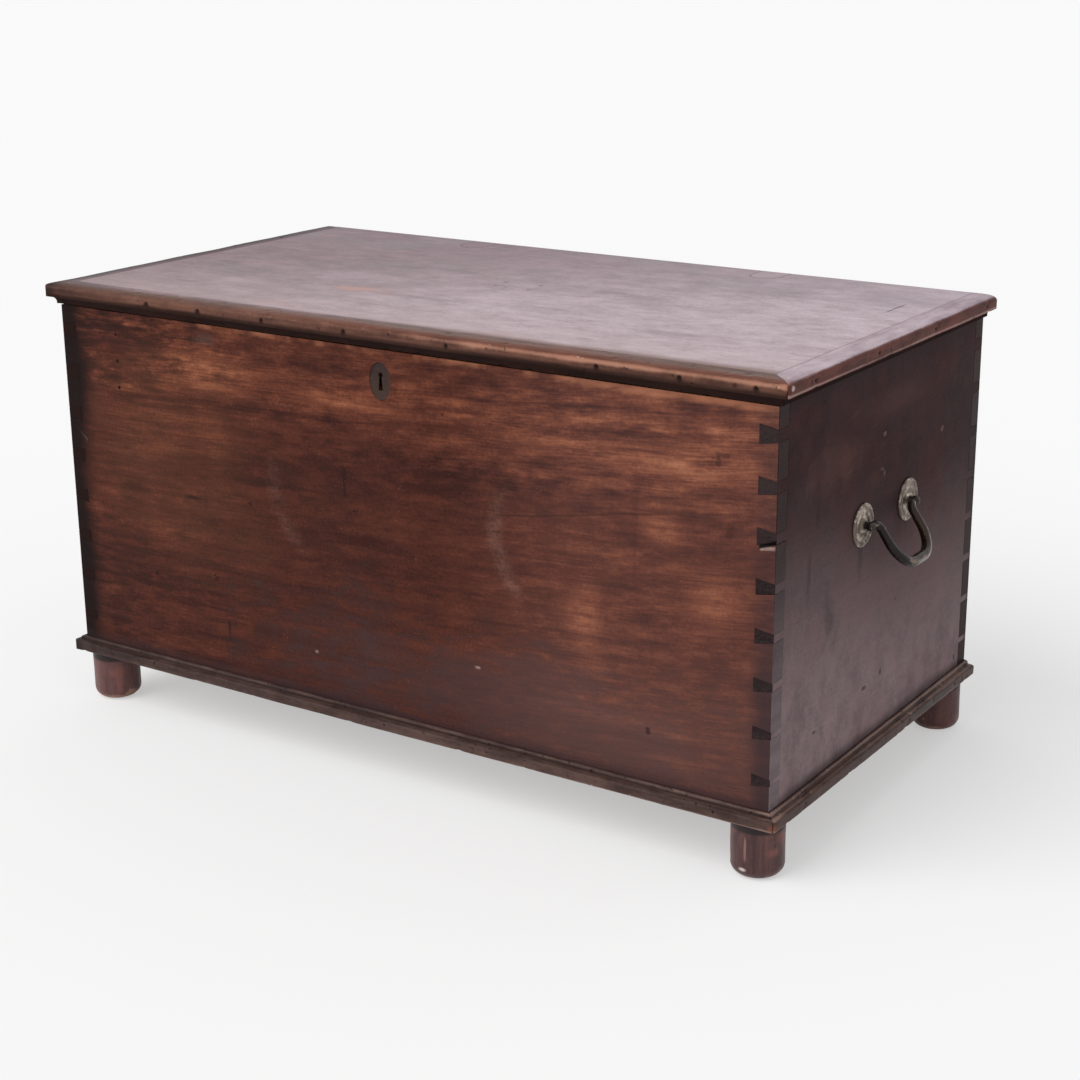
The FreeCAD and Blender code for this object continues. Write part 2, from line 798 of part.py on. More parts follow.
# ---- nails -------------------------------------------------------------------------------------
def base_moulding_nails():
    y = y_front - base_overhang
    x = x_end + base_overhang
    z = z_base_moulding - base_nail_drop
    margin = 2 * foot_radius
    length = base_overhang + board_thickness - bottom_rebate - base_nail_stop
    front = [nail(Vector(nx, y, z), Y, length)
             for nx in spread(-x_end + margin, x_end - margin, base_nail_count)]
    ends = []
    for ny in spread(y_front + margin, y_back - margin, end_nail_count):
        ends += [nail(Vector(x, ny, z), -X, length), nail(Vector(-x, ny, z), X, length)]
    return front + ends


def bottom_nails():
    """Nails up through the edges of the bottom into the walls."""
    inset = board_thickness - bottom_rebate / 2
    margin = 3 * foot_radius
    nails = []
    for nx in spread(-x_end + margin, x_end - margin, bottom_nail_count):
        for ny in (y_front + inset, y_back - inset):
            nails.append(nail(Vector(nx, ny, z_base), Z))
    for ny in spread(y_front + margin, y_back - margin, end_nail_count):
        for nx in (-x_end + inset, x_end - inset):
            nails.append(nail(Vector(nx, ny, z_base), Z))
    return nails


def till_nails():
    """Nails through front and back boards into the ends of the till's side."""
    low, high = z_till_bottom + till_depth / 4, z_till_top - till_board_thickness
    nails = []
    for nz in spread(low, high, till_nail_count):
        nails.append(nail(Vector(x_till, y_front, nz), Y))
        nails.append(nail(Vector(x_till, y_back, nz), -Y))
    return nails


def lid_moulding_nails():
    z = z_top - lid_nail_drop
    y = y_front - lid_front_overhang
    x = x_end + lid_end_overhang
    length = nail_length + lid_moulding_width / 2
    nails = [nail(Vector(-x_end + share * body_width, y, z), Y, length)
             for share in lid_front_nails]
    for ny in spread(lid_y_inner + lid_moulding_width, y_back - lid_moulding_width, end_nail_count):
        nails += [nail(Vector(x, ny, z), -X, length), nail(Vector(-x, ny, z), X, length)]
    return nails


# ---- the whole chest ---------------------------------------------------------------------------
def build():
    """Every node of the chest, holes bored for each fastener that passes through."""
    nodes = {}
    base_front, base_right = base_mouldings()
    lid_front, lid_right = lid_mouldings()
    till_side, till_floor = till_groove_room()
    base_nails, floor_nails, side_nails = base_moulding_nails(), bottom_nails(), till_nails()
    screws, cap_screws, strike_screws = lock_screws(), lock_cap_screws(), lid_strike_screws()
    case_screws, lid_screws, lid_nails = hinge_case_screws(), hinge_lid_screws(), lid_moulding_nails()
    posts = [eye_post(y) for y in eye_ys()]
    post_holes = [post_hole(y) for y in eye_ys()]
    case_leaves = [hinge_case_leaf(x) for x in hinge_xs]
    lid_leaves = [hinge_lid_leaf(x) for x in hinge_xs]
    patches = [hinge_patch(x) for x in hinge_xs]
    strike = lid_strike()

    front_cuts = [keyhole(y_front - CUT, y_inner + CUT, keyhole_wood_margin),
                  escutcheon_recess_room()]
    nodes["front_board"] = tail_board(y_front).cut(
        front_cuts + base_nails + floor_nails + side_nails + screws)
    nodes["back_board"] = tail_board(y_inner_back).cut(
        floor_nails + side_nails + case_leaves + case_screws)
    nodes["left_end_board"] = mirrored(end_board().cut(post_holes)).cut(
        [till_floor] + base_nails + floor_nails)
    nodes["right_end_board"] = end_board().cut(post_holes + base_nails + floor_nails)

    feet = {name: foot(*place) for name, place in foot_places().items()}
    for i, board in enumerate(bottom_boards(), 1):
        nodes[f"bottom_board_{i}"] = board.cut(list(feet.values()) + floor_nails)
    nodes.update(feet)

    nodes["base_moulding_front"] = base_front.cut(base_nails)
    nodes["base_moulding_right"] = base_right.cut(base_nails)
    nodes["base_moulding_left"] = mirrored(base_right).cut(base_nails)
    nodes["base_moulding_nails"] = group(base_nails)
    nodes["bottom_nails"] = group(floor_nails)

    nodes["till_side"] = till_side.cut(side_nails)
    nodes["till_bottom"] = till_floor
    nodes["till_nails"] = group(side_nails)

    nodes["escutcheon"] = escutcheon()
    nodes["lock_case"] = lock_case().cut(screws + cap_screws)
    nodes["lock_cap"] = lock_cap().cut([lock_key_pin()] + cap_screws)
    nodes["lock_key_pin"] = lock_key_pin()
    nodes["lock_bolt"] = lock_bolt()
    nodes["lock_screws"] = group(screws)
    nodes["lock_cap_screws"] = group(cap_screws)

    for side, x, case_leaf, lid_leaf in zip(("left", "right"), hinge_xs, case_leaves, lid_leaves):
        nodes[f"{side}_hinge_case_leaf"] = case_leaf.cut(case_screws)
        nodes[f"{side}_hinge_lid_leaf"] = lid_leaf.cut(lid_screws)
        nodes[f"{side}_hinge_pin"] = hinge_pin(x)
    nodes["hinge_case_screws"] = group(case_screws)
    nodes["hinge_lid_screws"] = group(lid_screws)

    roses = [rose(y) for y in eye_ys()]
    nuts = [post_nut(y) for y in eye_ys()]
    nodes["right_handle_roses"] = group(roses)
    nodes["right_handle_posts"] = group(posts)
    nodes["right_handle_nuts"] = group(nuts)
    nodes["right_handle_bail"] = bail()
    nodes["left_handle_roses"] = group([mirrored(piece) for piece in roses])
    nodes["left_handle_posts"] = group([mirrored(piece) for piece in posts])
    nodes["left_handle_nuts"] = group([mirrored(piece) for piece in nuts])
    nodes["left_handle_bail"] = mirrored(bail())

    nodes["lid_board"] = lid_board().cut(
        patches + lid_leaves + lid_screws + [strike] + strike_screws + lid_nails)
    nodes["lid_moulding_front"] = lid_front.cut(lid_nails)
    nodes["lid_moulding_right"] = lid_right.cut(lid_nails)
    nodes["lid_moulding_left"] = mirrored(lid_right).cut(lid_nails)
    nodes["lid_moulding_nails"] = group(lid_nails)
    nodes["lid_hinge_patches"] = group(patches)
    nodes["lid_strike"] = strike.cut(strike_screws)
    nodes["lid_strike_screws"] = group(strike_screws)
    return nodes


def export(nodes):
    os.makedirs("parts", exist_ok=True)
    for name, shape in nodes.items():
        shape.exportStep(os.path.join("parts", name + ".step"))
        solids = len(shape.Solids)
        print(f"{name}: {solids} solid(s), valid {shape.isValid()}, {shape.Volume / 1000:.1f} cm3")


export(build())
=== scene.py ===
# %% [markdown]
# # A mahogany sea chest
# The real thing is an old travelling chest: wide boards dovetailed at the corners, a lid with a
# planted moulding, an iron handle on each end and four turned feet. The measured model gives every
# board and fitting its place. This lesson dresses it: the boards keep their meshes and get worn wood
# finishes, and the mouldings, feet, nails, keyhole plate, roses and handles are made again, softer
# and more uneven, as surfaces worked out with numpy.

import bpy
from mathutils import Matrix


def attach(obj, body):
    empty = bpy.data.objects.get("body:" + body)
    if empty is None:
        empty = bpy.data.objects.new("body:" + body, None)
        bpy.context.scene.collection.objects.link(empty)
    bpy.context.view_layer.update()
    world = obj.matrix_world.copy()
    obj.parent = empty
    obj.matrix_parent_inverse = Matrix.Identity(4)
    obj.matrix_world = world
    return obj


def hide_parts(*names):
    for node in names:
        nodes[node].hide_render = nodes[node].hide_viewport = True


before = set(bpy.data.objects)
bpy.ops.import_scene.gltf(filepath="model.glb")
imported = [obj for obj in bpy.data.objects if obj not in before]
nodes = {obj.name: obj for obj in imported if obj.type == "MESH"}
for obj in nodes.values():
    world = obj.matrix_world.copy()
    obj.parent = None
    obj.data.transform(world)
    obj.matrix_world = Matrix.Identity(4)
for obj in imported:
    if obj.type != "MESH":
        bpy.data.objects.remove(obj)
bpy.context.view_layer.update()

# %% Tools and units
import math

import bmesh
import bpy
import numpy as np
from mathutils import Matrix, Vector

MM = 0.001
# Places in millimetres: from front to back, out to the ends, and heights above the floor.
FRONT, MIDDLE, BACK = -262.4, 1.6, 265.6
HALF_WIDTH = 500
BASE, HANDLE_HEIGHT, KEYHOLE_HEIGHT, RIM, TOP = 66, 345.5, 484.7, 521, 549


def shade(red, green, blue):
    """A colour as it shows on a screen, 0 to 255, turned into the amount of light it stands for."""
    parts = [v / 255 for v in (red, green, blue)]
    parts = [v / 12.92 if v <= 0.04045 else ((v + 0.055) / 1.055) ** 2.4 for v in parts]
    return (*parts, 1.0)


print("mid brown as light", [round(v, 3) for v in shade(110, 65, 50)])

# %% [markdown]
# ## The eye
# The chest is seen from in front of its right end, a little from above, with a long lens, so its
# sides run together only slightly. A camera can be aimed at a point, but then its roll is lost, so
# its three directions are worked out from the turn, the tilt and the roll and put into one matrix.

# %% Camera
turn, tilt, roll = (math.radians(v) for v in (33.0026, 16.9711, 0.2246))
ahead = Vector((-math.sin(turn) * math.cos(tilt), math.cos(turn) * math.cos(tilt), -math.sin(tilt)))
side = Vector((math.cos(turn), math.sin(turn), 0.0))
down = ahead.cross(side)
side, down = (side * math.cos(roll) + down * math.sin(roll),
              down * math.cos(roll) - side * math.sin(roll))

camera = bpy.data.objects.new("camera", bpy.data.cameras.new("camera"))
camera.data.lens = 67.178
camera.data.shift_x = -0.0285
camera.data.shift_y = -0.0216
camera.matrix_world = (Matrix.Translation((1.37734, -1.99213, 0.99718))
                       @ Matrix((side, -down, -ahead)).transposed().to_4x4())
bpy.context.scene.collection.objects.link(camera)
bpy.context.scene.camera = camera
bpy.context.scene.view_settings.view_transform = "Standard"
print("camera at", [round(v, 3) for v in camera.matrix_world.translation])

# %% [markdown]
# ## Wiring a finish
# A finish is a small net of nodes. Written one node at a time it is long and hard to read, so two
# helpers carry the work. A Wire is one output, and maths on wires adds Math nodes, so a mask can be
# written as a sum. A Recipe is one material: its `make` puts down any node, and its other methods
# are the few combinations that wood and metal need again and again.


# %% Wire
class Wire:
    """One output of a node. Adding, multiplying and so on put down Math nodes."""

    def __init__(self, recipe, socket):
        self.recipe, self.socket = recipe, socket

    def maths(self, operation, first, second):
        return self.recipe.make("Math", {0: first, 1: second}, operation=operation)

    def __add__(self, other):
        return self.maths("ADD", self, other)

    def __sub__(self, other):
        return self.maths("SUBTRACT", self, other)

    def __rsub__(self, other):
        return self.maths("SUBTRACT", other, self)

    def __mul__(self, other):
        return self.maths("MULTIPLY", self, other)

    def __abs__(self):
        return self.maths("ABSOLUTE", self, 0.0)

    def most(self, other):
        return self.maths("MAXIMUM", self, other)

    __radd__ = __add__
    __rmul__ = __mul__


# %% Recipe
class Recipe:
    """One material, or the world, and the nodes in it."""

    def __init__(self, owner):
        owner.use_nodes = True
        self.owner = owner
        self.tree = owner.node_tree
        self.tree.nodes.clear()

    def make(self, kind, inputs=None, out=0, **settings):
        """Puts down a node: its settings first, then its inputs, as values or as wires."""
        node = self.tree.nodes.new("ShaderNode" + kind)
        for key, value in settings.items():
            setattr(node, key, value)
        for key, value in (inputs or {}).items():
            if isinstance(value, Wire):
                self.tree.links.new(value.socket, node.inputs[key])
            else:
                node.inputs[key].default_value = value
        return Wire(self, node.outputs[out]) if node.outputs else node

    def mark(self, name):
        """A number that the piece keeps on each of its points."""
        return self.make("Attribute", attribute_name=name, out="Fac")

    def split(self, vector):
        first = self.make("SeparateXYZ", {0: vector})
        return [Wire(self, socket) for socket in first.socket.node.outputs]

    def join(self, x, y, z):
        return self.make("CombineXYZ", {0: x, 1: y, 2: z})

    def stretch(self, vector, by):
        return self.make("VectorMath", {0: vector, 1: by}, operation="MULTIPLY")

    def noise(self, vector, scale=1.0, detail=3.0, rough=0.55):
        """Soft noise about zero, mostly between -0.25 and 0.25."""
        return self.make("TexNoise", {"Vector": vector, "Scale": scale, "Detail": detail,
                                      "Roughness": rough}) - 0.5

    def stretched_noise(self, by, detail, rough=0.55):
        return self.noise(self.stretch(self.place, by), detail=detail, rough=rough)

    def length(self, vector):
        return self.make("VectorMath", {0: vector}, out="Value", operation="LENGTH")

    def ease(self, value, low, high):
        """0 up to low, 1 from high on, and an easy curve between. Low may be the larger."""
        flip = low > high
        eased = self.make("MapRange", {"Value": value, 1: min(low, high), 2: max(low, high)},
                          interpolation_type="SMOOTHSTEP")
        return 1 - eased if flip else eased

    def mix(self, mask, under, over):
        """The over colour on the under colour by the mask. Each is a wire, or numbers for shade."""
        under, over = (shade(*c) if isinstance(c, tuple) else c for c in (under, over))
        return self.make("Mix", {0: mask, 6: under, 7: over}, out=2, data_type="RGBA")

    def tint(self, tone, low, high, under, over):
        """From the under colour, where the tone is low, to the over colour, where it is high."""
        return self.mix(self.ease(tone, low, high), under, over)

    def ramp(self, tone, *stops):
        """Sets the recipe's colour by the tone. Each stop is a tone and three numbers for shade."""
        self.colour = self.make("ValToRGB", {0: tone})
        elements = self.colour.socket.node.color_ramp.elements
        for _ in stops[2:]:
            elements.new(0.5)
        for element, (position, *colour) in zip(elements, stops):
            element.position, element.color = position, shade(*colour)

    def lay(self, mask, over):
        """Lays one more colour on the recipe's colour."""
        self.colour = self.mix(mask, self.colour, over)

    def finish(self, rough, height, specular, metal=0.0):
        """Ends the recipe with a shader. Height is the relief in millimetres."""
        bump = self.make("Bump", {"Height": height, "Strength": 1.0, "Distance": MM})
        shader = self.make("BsdfPrincipled", {
            "Base Color": self.colour, "Roughness": rough, "Metallic": metal, "Normal": bump,
            "Specular IOR Level": specular})
        self.make("OutputMaterial", {"Surface": shader})
        return self.owner


print("helpers ready")

# %% [markdown]
# ## The room
# The chest stands on a plain pale floor in a room that is white all round, as in a small studio. One
# broad soft sun from the upper left lights the front more than the end, and the room fills the
# shadows. The room looks brighter to the eye and in polished metal than it shines on the wood, which
# keeps the wood's own colour deep. Many lamps would give many shadows, so there is only this one.

# %% Room, floor and light
room = Recipe(bpy.data.worlds.new("room"))
bpy.context.scene.world = room.owner


def looked_at(recipe):
    """1 for rays that show the thing itself, a mirror image of it or a view through glass."""
    rays = recipe.make("LightPath").socket.node.outputs
    camera_ray, glossy, clear = (Wire(recipe, rays[name]) for name in
                                 ("Is Camera Ray", "Is Glossy Ray", "Is Transmission Ray"))
    return camera_ray.most(glossy).most(clear)


ROOM_FILL = 0.55
room.make("OutputWorld", {"Surface": room.make("Background", {
    "Color": (1.0, 1.0, 1.0, 1.0), "Strength": ROOM_FILL + (1 - ROOM_FILL) * looked_at(room)})})

floor_finish = Recipe(bpy.data.materials.new("floor finish"))
floor_finish.make("OutputMaterial", {"Surface": floor_finish.make("MixShader", {
    0: 0.45 * looked_at(floor_finish),
    1: floor_finish.make("BsdfDiffuse", {"Color": (0.97, 0.97, 0.97, 1.0)}),
    2: floor_finish.make("Emission", {"Color": (1.0, 1.0, 1.0, 1.0)})})})

floor_mesh = bpy.data.meshes.new("floor")
floor_mesh.from_pydata([(-60, -60, 0), (60, -60, 0), (60, 60, 0), (-60, 60, 0)], [], [(0, 1, 2, 3)])
floor_mesh.materials.append(floor_finish.owner)
floor = bpy.data.objects.new("floor", floor_mesh)
bpy.context.scene.collection.objects.link(floor)

sun = bpy.data.objects.new("soft sun", bpy.data.lights.new("soft sun", "SUN"))
sun.data.energy, sun.data.angle = 1.75, math.radians(50)
sun.rotation_euler = Vector((0.38, 0.72, -0.80)).to_track_quat("-Z", "Y").to_euler()
bpy.context.scene.collection.objects.link(sun)
print("room fill", ROOM_FILL, "sun", sun.data.energy)

# %% [markdown]
# ## Skins from numbers
# Every new piece is a skin over a grid of points: one way along the piece, the other way round its
# section. It could be pulled about by hand in edit mode, but a formula keeps the section exact and
# lets wear be added as a small push inwards. The volume of the closed skin tells which way its faces
# look, so none comes out inside out.


# %% Skin
def put_in(piece_name, mesh, finish, body, stands_for):
    """Puts a mesh in the scene as a piece that rides its body and stands for nodes of the model."""
    mesh.materials.append(finish)
    piece = bpy.data.objects.new(piece_name, mesh)
    bpy.context.scene.collection.objects.link(piece)
    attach(piece, body)
    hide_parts(*stands_for)
    return piece


def skin(name, grid, finish, body, stands_for, lengths=None, marks=None, loop=False):
    """A closed skin over grid[copy, station, place round the section], in metres. Neighbouring points
    make one face and the last place joins the first. The last station joins the first too in a loop,
    and else a flat face shuts each end. lengths are the two kept as its UV map, along and around, and
    marks are named numbers, one for each point."""
    grid = grid.reshape(-1, *grid.shape[-3:])
    places = grid.shape[2]
    index = np.arange(grid[..., 0].size).reshape(grid.shape[:3])
    nearer = index if loop else index[:, :-1]
    further = np.roll(index, -1, axis=1) if loop else index[:, 1:]
    quads = np.stack([nearer, np.roll(nearer, -1, axis=2), np.roll(further, -1, axis=2), further],
                     axis=-1).reshape(-1, 4)
    caps = np.empty((0, places), int) if loop else np.concatenate([index[:, 0, ::-1], index[:, -1]])
    points = grid.reshape(-1, 3)
    volume = 0.0
    for faces in (quads, caps):
        first, *others = np.moveaxis(points[faces], 1, 0)
        for second, third in zip(others, others[1:]):
            volume += np.sum(first * np.cross(second, third))
    if volume < 0:
        quads, caps = quads[:, ::-1], caps[:, ::-1]
    mesh = bpy.data.meshes.new(name)
    mesh.from_pydata(points.tolist(), [], quads.tolist() + caps.tolist())
    mesh.polygons.foreach_set("use_smooth", np.ones(len(mesh.polygons), bool))
    if lengths:
        along, around = lengths
        corners = np.concatenate([quads.ravel(), caps.ravel()])
        column = corners % places
        joins = (quads % places).max(axis=1) - (quads % places).min(axis=1) == places - 1
        column[:quads.size] += places * (np.repeat(joins, 4) & (column[:quads.size] == 0))
        around = np.append(around, 2 * around[-1] - around[-2])
        flat = np.stack([along.ravel()[corners], around[column]], axis=-1)
        mesh.uv_layers.new(name="run").data.foreach_set("uv", flat.ravel())
    for key, values in (marks or {}).items():
        mesh.attributes.new(key, "FLOAT", "POINT").data.foreach_set("value", values.ravel())
    put_in(name, mesh, finish, body, stands_for)
    print(name, "faces", len(mesh.polygons), "volume cm3", round(abs(volume) / 6 * 1e6, 1))


# %% [markdown]
# ## Unevenness
# Hand tools and two centuries leave no edge straight. Slow hills make a moulding swell and thin
# along its run, and dents are the small knocks of loading and unloading. Both are sums over a whole
# grid at once, and both start from a fixed seed, so the chest comes out the same each time.


# %% Hills and dents
def hills(u, v, step_u, step_v, seed):
    """Smooth heights from -1 to 1: random heights on a net of steps, and between the knots each
    height is eased into the next by t * t * (3 - 2 t)."""
    u, v = (u - u.min()) / step_u, (v - v.min()) / step_v
    column, row = np.floor(u).astype(int), np.floor(v).astype(int)
    knots = np.random.default_rng(seed).uniform(-1, 1, (column.max() + 2, row.max() + 2))
    s, t = ((w - np.floor(w)) for w in (u, v))
    s, t = s * s * (3 - 2 * s), t * t * (3 - 2 * t)
    low = knots[column, row] * (1 - s) + knots[column + 1, row] * s
    high = knots[column, row + 1] * (1 - s) + knots[column + 1, row + 1] * s
    return low * (1 - t) + high * t


def dents(u, v, spots, width):
    """Hollows from 0 to 1: exp(-(distance / width) squared) about each spot, the deepest kept."""
    away = ((u[None] - spots[:, 0, None, None]) ** 2 + (v[None] - spots[:, 1, None, None]) ** 2)
    return np.exp(-away / np.reshape(width, (-1, 1, 1)) ** 2).max(axis=0)


def run(start, end, gaps=6):
    """A straight run cut into equal gaps, without its last point."""
    start, end = np.array(start, float), np.array(end, float)
    return start + (end - start) * np.linspace(0, 1, gaps, endpoint=False)[:, None]


def quarter(start, corner, end, gaps=9):
    """A quarter of an oval that leaves start and meets end along the two sides of the corner: the
    middle, which is start + end - corner, plus a cosine share of one half axis and a sine share of
    the other."""
    start, corner, end = (np.array(p, float) for p in (start, corner, end))
    middle = start + end - corner
    angle = np.linspace(0, math.pi / 2, gaps, endpoint=False)[:, None]
    return middle + (start - middle) * np.cos(angle) + (end - middle) * np.sin(angle)


def softened(profile, times=1):
    """Each point of the closed profile drawn halfway to the middle of its two neighbours, which
    rounds the corners and hardly moves the rest."""
    for _ in range(times):
        profile = profile / 2 + (np.roll(profile, 1, axis=0) + np.roll(profile, -1, axis=0)) / 4
    return profile


print("hills", hills(np.linspace(0, 9, 5), np.zeros(5), 2.0, 1.0, 3).round(2))


# %% [markdown]
# ## Finishes
# The shell is one open-grained red wood, darkened by age and by sea air. Its figure is streaks of
# three sizes along each board: wide bands, streaks and hair lines. Each is noise squeezed along the
# run of the grain. A picture of wood would repeat and would not go through the corners, and noise on
# Object coordinates does neither. Over the streaks lie the things that happened to this chest: sun
# bleach, hand grease, rubbed edges, a crack, smears and knocks.


# %% Grain
def grain(recipe, along, across, through, seed=0.0):
    """Bands, streaks and hair lines about zero, from noise squeezed along the run of the wood."""
    place = recipe.join(along + seed, across, through)
    return (recipe.noise(recipe.stretch(place, (1.5, 16, 16)), detail=4),
            recipe.noise(recipe.stretch(place, (7, 85, 85)), detail=3),
            recipe.noise(recipe.stretch(place, (30, 520, 520)), detail=2))


def figure(recipe, along, across):
    """The short curled strokes of a board sawn through the grain, about zero."""
    place = recipe.stretch(recipe.join(along, across, 0.0), (24, 70, 1))
    return recipe.noise(place, detail=6, rough=0.66)


def spot(recipe, centre, size, ragged, soft=0.75):
    """1 in the middle of an oval and 0 outside it. The distance from the centre, in half sizes, is
    made ragged and eased. Centre and size are in millimetres."""
    away = recipe.make("VectorMath", {0: recipe.place, 1: [v * MM for v in centre]}, operation="SUBTRACT")
    away = recipe.length(recipe.stretch(away, [1 / (v * MM) for v in size]))
    return recipe.ease(away + ragged, 1.0, 1.0 - soft)


def added(put, *rows):
    """Ovals added up. Each row is the strength of one, then what put needs to place it."""
    return sum(strength * put(*where) for strength, *where in rows)


def line(recipe, start, end, half, wander=0.0):
    """1 on a line across the front between two places (x, z), in millimetres, and 0 beside it."""
    (x0, z0), (x1, z1) = start, end
    slope, middle, reach = (z1 - z0) / (x1 - x0), (x0 + x1) / 2 * MM, (x1 - x0) / 2 * MM
    off = abs(recipe.z - slope * recipe.x + (slope * x0 - z0) * MM + wander * recipe.cloud)
    return (recipe.ease(off, 1.6 * half * MM, 0.4 * half * MM) * recipe.ease(recipe.y, -0.23, -0.25)
            * recipe.ease(abs(recipe.x - middle), reach, 0.8 * reach))


def wood(name):
    """A recipe with its place, its three coordinates and two plain noises that most masks share."""
    recipe = Recipe(bpy.data.materials.new(name))
    recipe.place = recipe.make("TexCoord", out="Object")
    recipe.x, recipe.y, recipe.z = recipe.split(recipe.place)
    recipe.cloud = recipe.noise(recipe.place, 9, detail=3)
    recipe.speck = recipe.noise(recipe.place, 260, detail=3, rough=0.65)
    return recipe


RAW_WOOD = (92, 56, 40), (140, 96, 68)
WEDGE = (480, 372.5), (503, 381), 2.2
print("grain ready")

# %% [markdown]
# ## The front
# The front is the show side. Its bands run level on the left and climb gently to the right, a warm
# band crosses just under the lock, the middle is dark from hands and polish and the right has paler
# rubbed places. The tone is a sum: the streaks, plus a few soft ovals, given one by one, and one ramp
# turns it into colour. The same recipe goes on the back, where the ovals don't reach.

# %% Front finish
front = wood("front finish")
x, z = front.x, front.z
sweep = x + 0.5
level = z - 0.05 * sweep * sweep + 0.02 * front.noise(front.place, 2.2, detail=2)
bands, streaks, hairs = grain(front, x, level, front.y)
mottle = figure(front, x, level)
rag = 1.6 * front.cloud + 2.2 * mottle


def on_front(x, z, half_x, half_z, soft=0.8):
    return spot(front, (x, FRONT, z), (half_x, 60, half_z), rag, soft)


pale = added(on_front, (0.24, -60, 452, 120, 16), (0.15, -260, 462, 190, 24),
             (0.12, -345, 375, 160, 65, 0.9), (0.08, -262, 385, 45, 48), (0.08, -335, 250, 65, 36),
             (0.16, 405, 450, 95, 26), (0.10, 260, 445, 140, 18), (0.24, 366, 370, 44, 30),
             (0.22, 425, 302, 48, 48), (0.22, 272, 262, 40, 68), (0.12, 282, 212, 36, 30),
             (0.10, 350, 146, 150, 12), (0.12, 385, 111, 60, 12))
threads = front.noise(front.stretch(front.join(x, level, 0.0), (2.4, 75, 1)), detail=3)
threads = front.ease(threads, 0.04, 0.22)
dusk = added(on_front, (0.22, -440, 478, 150, 60, 0.9), (0.07, -260, 508, 220, 14, 0.9),
             (0.12, 160, 399, 125, 17, 0.9), (0.05, -420, 200, 90, 130, 0.9),
             (0.07, -185, 345, 78, 44), (0.05, -20, 150, 260, 90, 0.9),
             (0.05, 0, 390, 210, 34, 0.9), (0.06, 334, 356, 7, 125, 0.9))
high, right, left = front.ease(z, 0.37, 0.46), front.ease(x, 0.06, 0.30), front.ease(x, -0.14, -0.30)
lively = 0.36 + 0.34 * high + 0.30 * right + 0.16 * left + 0.7 * pale
tone = (0.365 + 0.11 * high + 0.08 * right + 0.05 * left * front.ease(z, 0.17, 0.30) + pale - dusk
        + lively * (0.55 * bands + 0.55 * streaks + 0.42 * hairs + 1.10 * mottle - 0.16 * threads)
        + 0.12 * front.cloud + 0.26 * front.speck)
front.ramp(tone, (0.05, 34, 15, 13), (0.28, 58, 27, 21), (0.46, 85, 44, 33), (0.62, 114, 64, 46),
           (0.80, 148, 91, 65), (1.0, 180, 120, 90))
print("front nodes so far", len(front.tree.nodes))

# %% [markdown]
# The marks come next, each where it is on the chest: a green-brown cast at the left, a purple cast in
# the middle, the long drying crack, two pale smears, dark knocks, and grime along the bottom. Then the
# rubbed top edge, worn and with a painted highlight on its arris, the painted dark inside the keyhole,
# the raw inner face, and the end grain of the tails, which is grey and dotted, and painted lighter
# lower down as a reflection of the floor.

# %% Front marks
front.lay(0.18 * on_front(-330, 330, 230, 190, 0.9), (88, 60, 40))
front.lay(0.50 * on_front(120, 130, 440, 110, 0.9), (76, 57, 57))
front.lay(0.40 * right * front.ease(z, 0.30, 0.10), (84, 61, 56))
front.lay(0.18 * right, (112, 80, 78))
cracks = (0.7 * line(front, (150, 352), (388, 392), 1.0, wander=0.012)
          + 0.3 * line(front, (-487, 352), (-235, 377), 1.0, 0.02)
          + 0.4 * line(front, (60, 404), (300, 432), 1.6, 0.02)) * (0.6 + 1.5 * mottle)


def smear(bottom_x, lean, bow, wide):
    """A pale curved wipe: x follows the height as bottom_x + lean * t + bow * t * t."""
    t = z - 0.33
    off = abs(x + 0.03 * front.cloud - bottom_x - lean * t - bow * t * t)
    return (front.ease(off, wide, 0.0) * front.ease(z + 0.1 * front.cloud, 0.400, 0.345)
            * front.ease(z + 0.05 * front.cloud, 0.256, 0.275))


smears = 0.45 * smear(-0.1605, -0.17, 5.2, 0.020) + smear(0.153, -0.075, 6.5, 0.017)
chips = front.make("TexVoronoi", {"Vector": front.place, "Scale": 21.0})
chip_pick = Wire(front, chips.socket.node.outputs["Position"])
chip_pick = front.ease(front.noise(chip_pick, 43, detail=0), 0.12, 0.16)
knocks = front.ease(chips + 0.5 * front.speck, 0.075, 0.045) * chip_pick
dashes = front.ease(front.stretched_noise((70, 1, 430), detail=2), 0.19, 0.27)
grit = front.ease(front.noise(front.place, 340, detail=2), 0.21, 0.27)
flecks = (added(on_front, (1, 128, 169, 6, 3, 0.9), (0.7, -109, 140, 4, 3, 0.9),
                (0.25, -486, 384, 4, 24, 0.9), (0.10, -262, 503, 20, 10, 0.9))
          + 0.35 * line(front, (-492, 368), (-470, 350), 1.8)
          + 1.3 * line(front, (481, 371), (500, 373.5), 1.8))
darks = (added(on_front, (1, -248, 141, 4, 15, 0.5), (1, -57, 358, 2.5, 17, 0.5),
               (1, -296, 303, 14, 2.5, 0.5), (1, 352, 143, 3, 4, 0.5), (0.6, 432, 457, 3.2, 8),
               (1, 86, 458, 3, 4, 0.5), (0.5, 448, 383, 8, 12))
         + 0.6 * line(front, (428, 463), (446, 462), 2.4))
front.lay(smears * (0.17 + 0.8 * mottle + 0.4 * front.speck), (140, 108, 98))
breaks = (0.75 * cracks + 0.6 * knocks).most(0.6 * darks).most(0.45 * dashes)
front.lay(breaks, (28, 17, 17))
front.lay(0.3 * grit, (170, 122, 92))
front.lay(flecks * (0.5 + 0.8 * front.speck), (196, 172, 160))
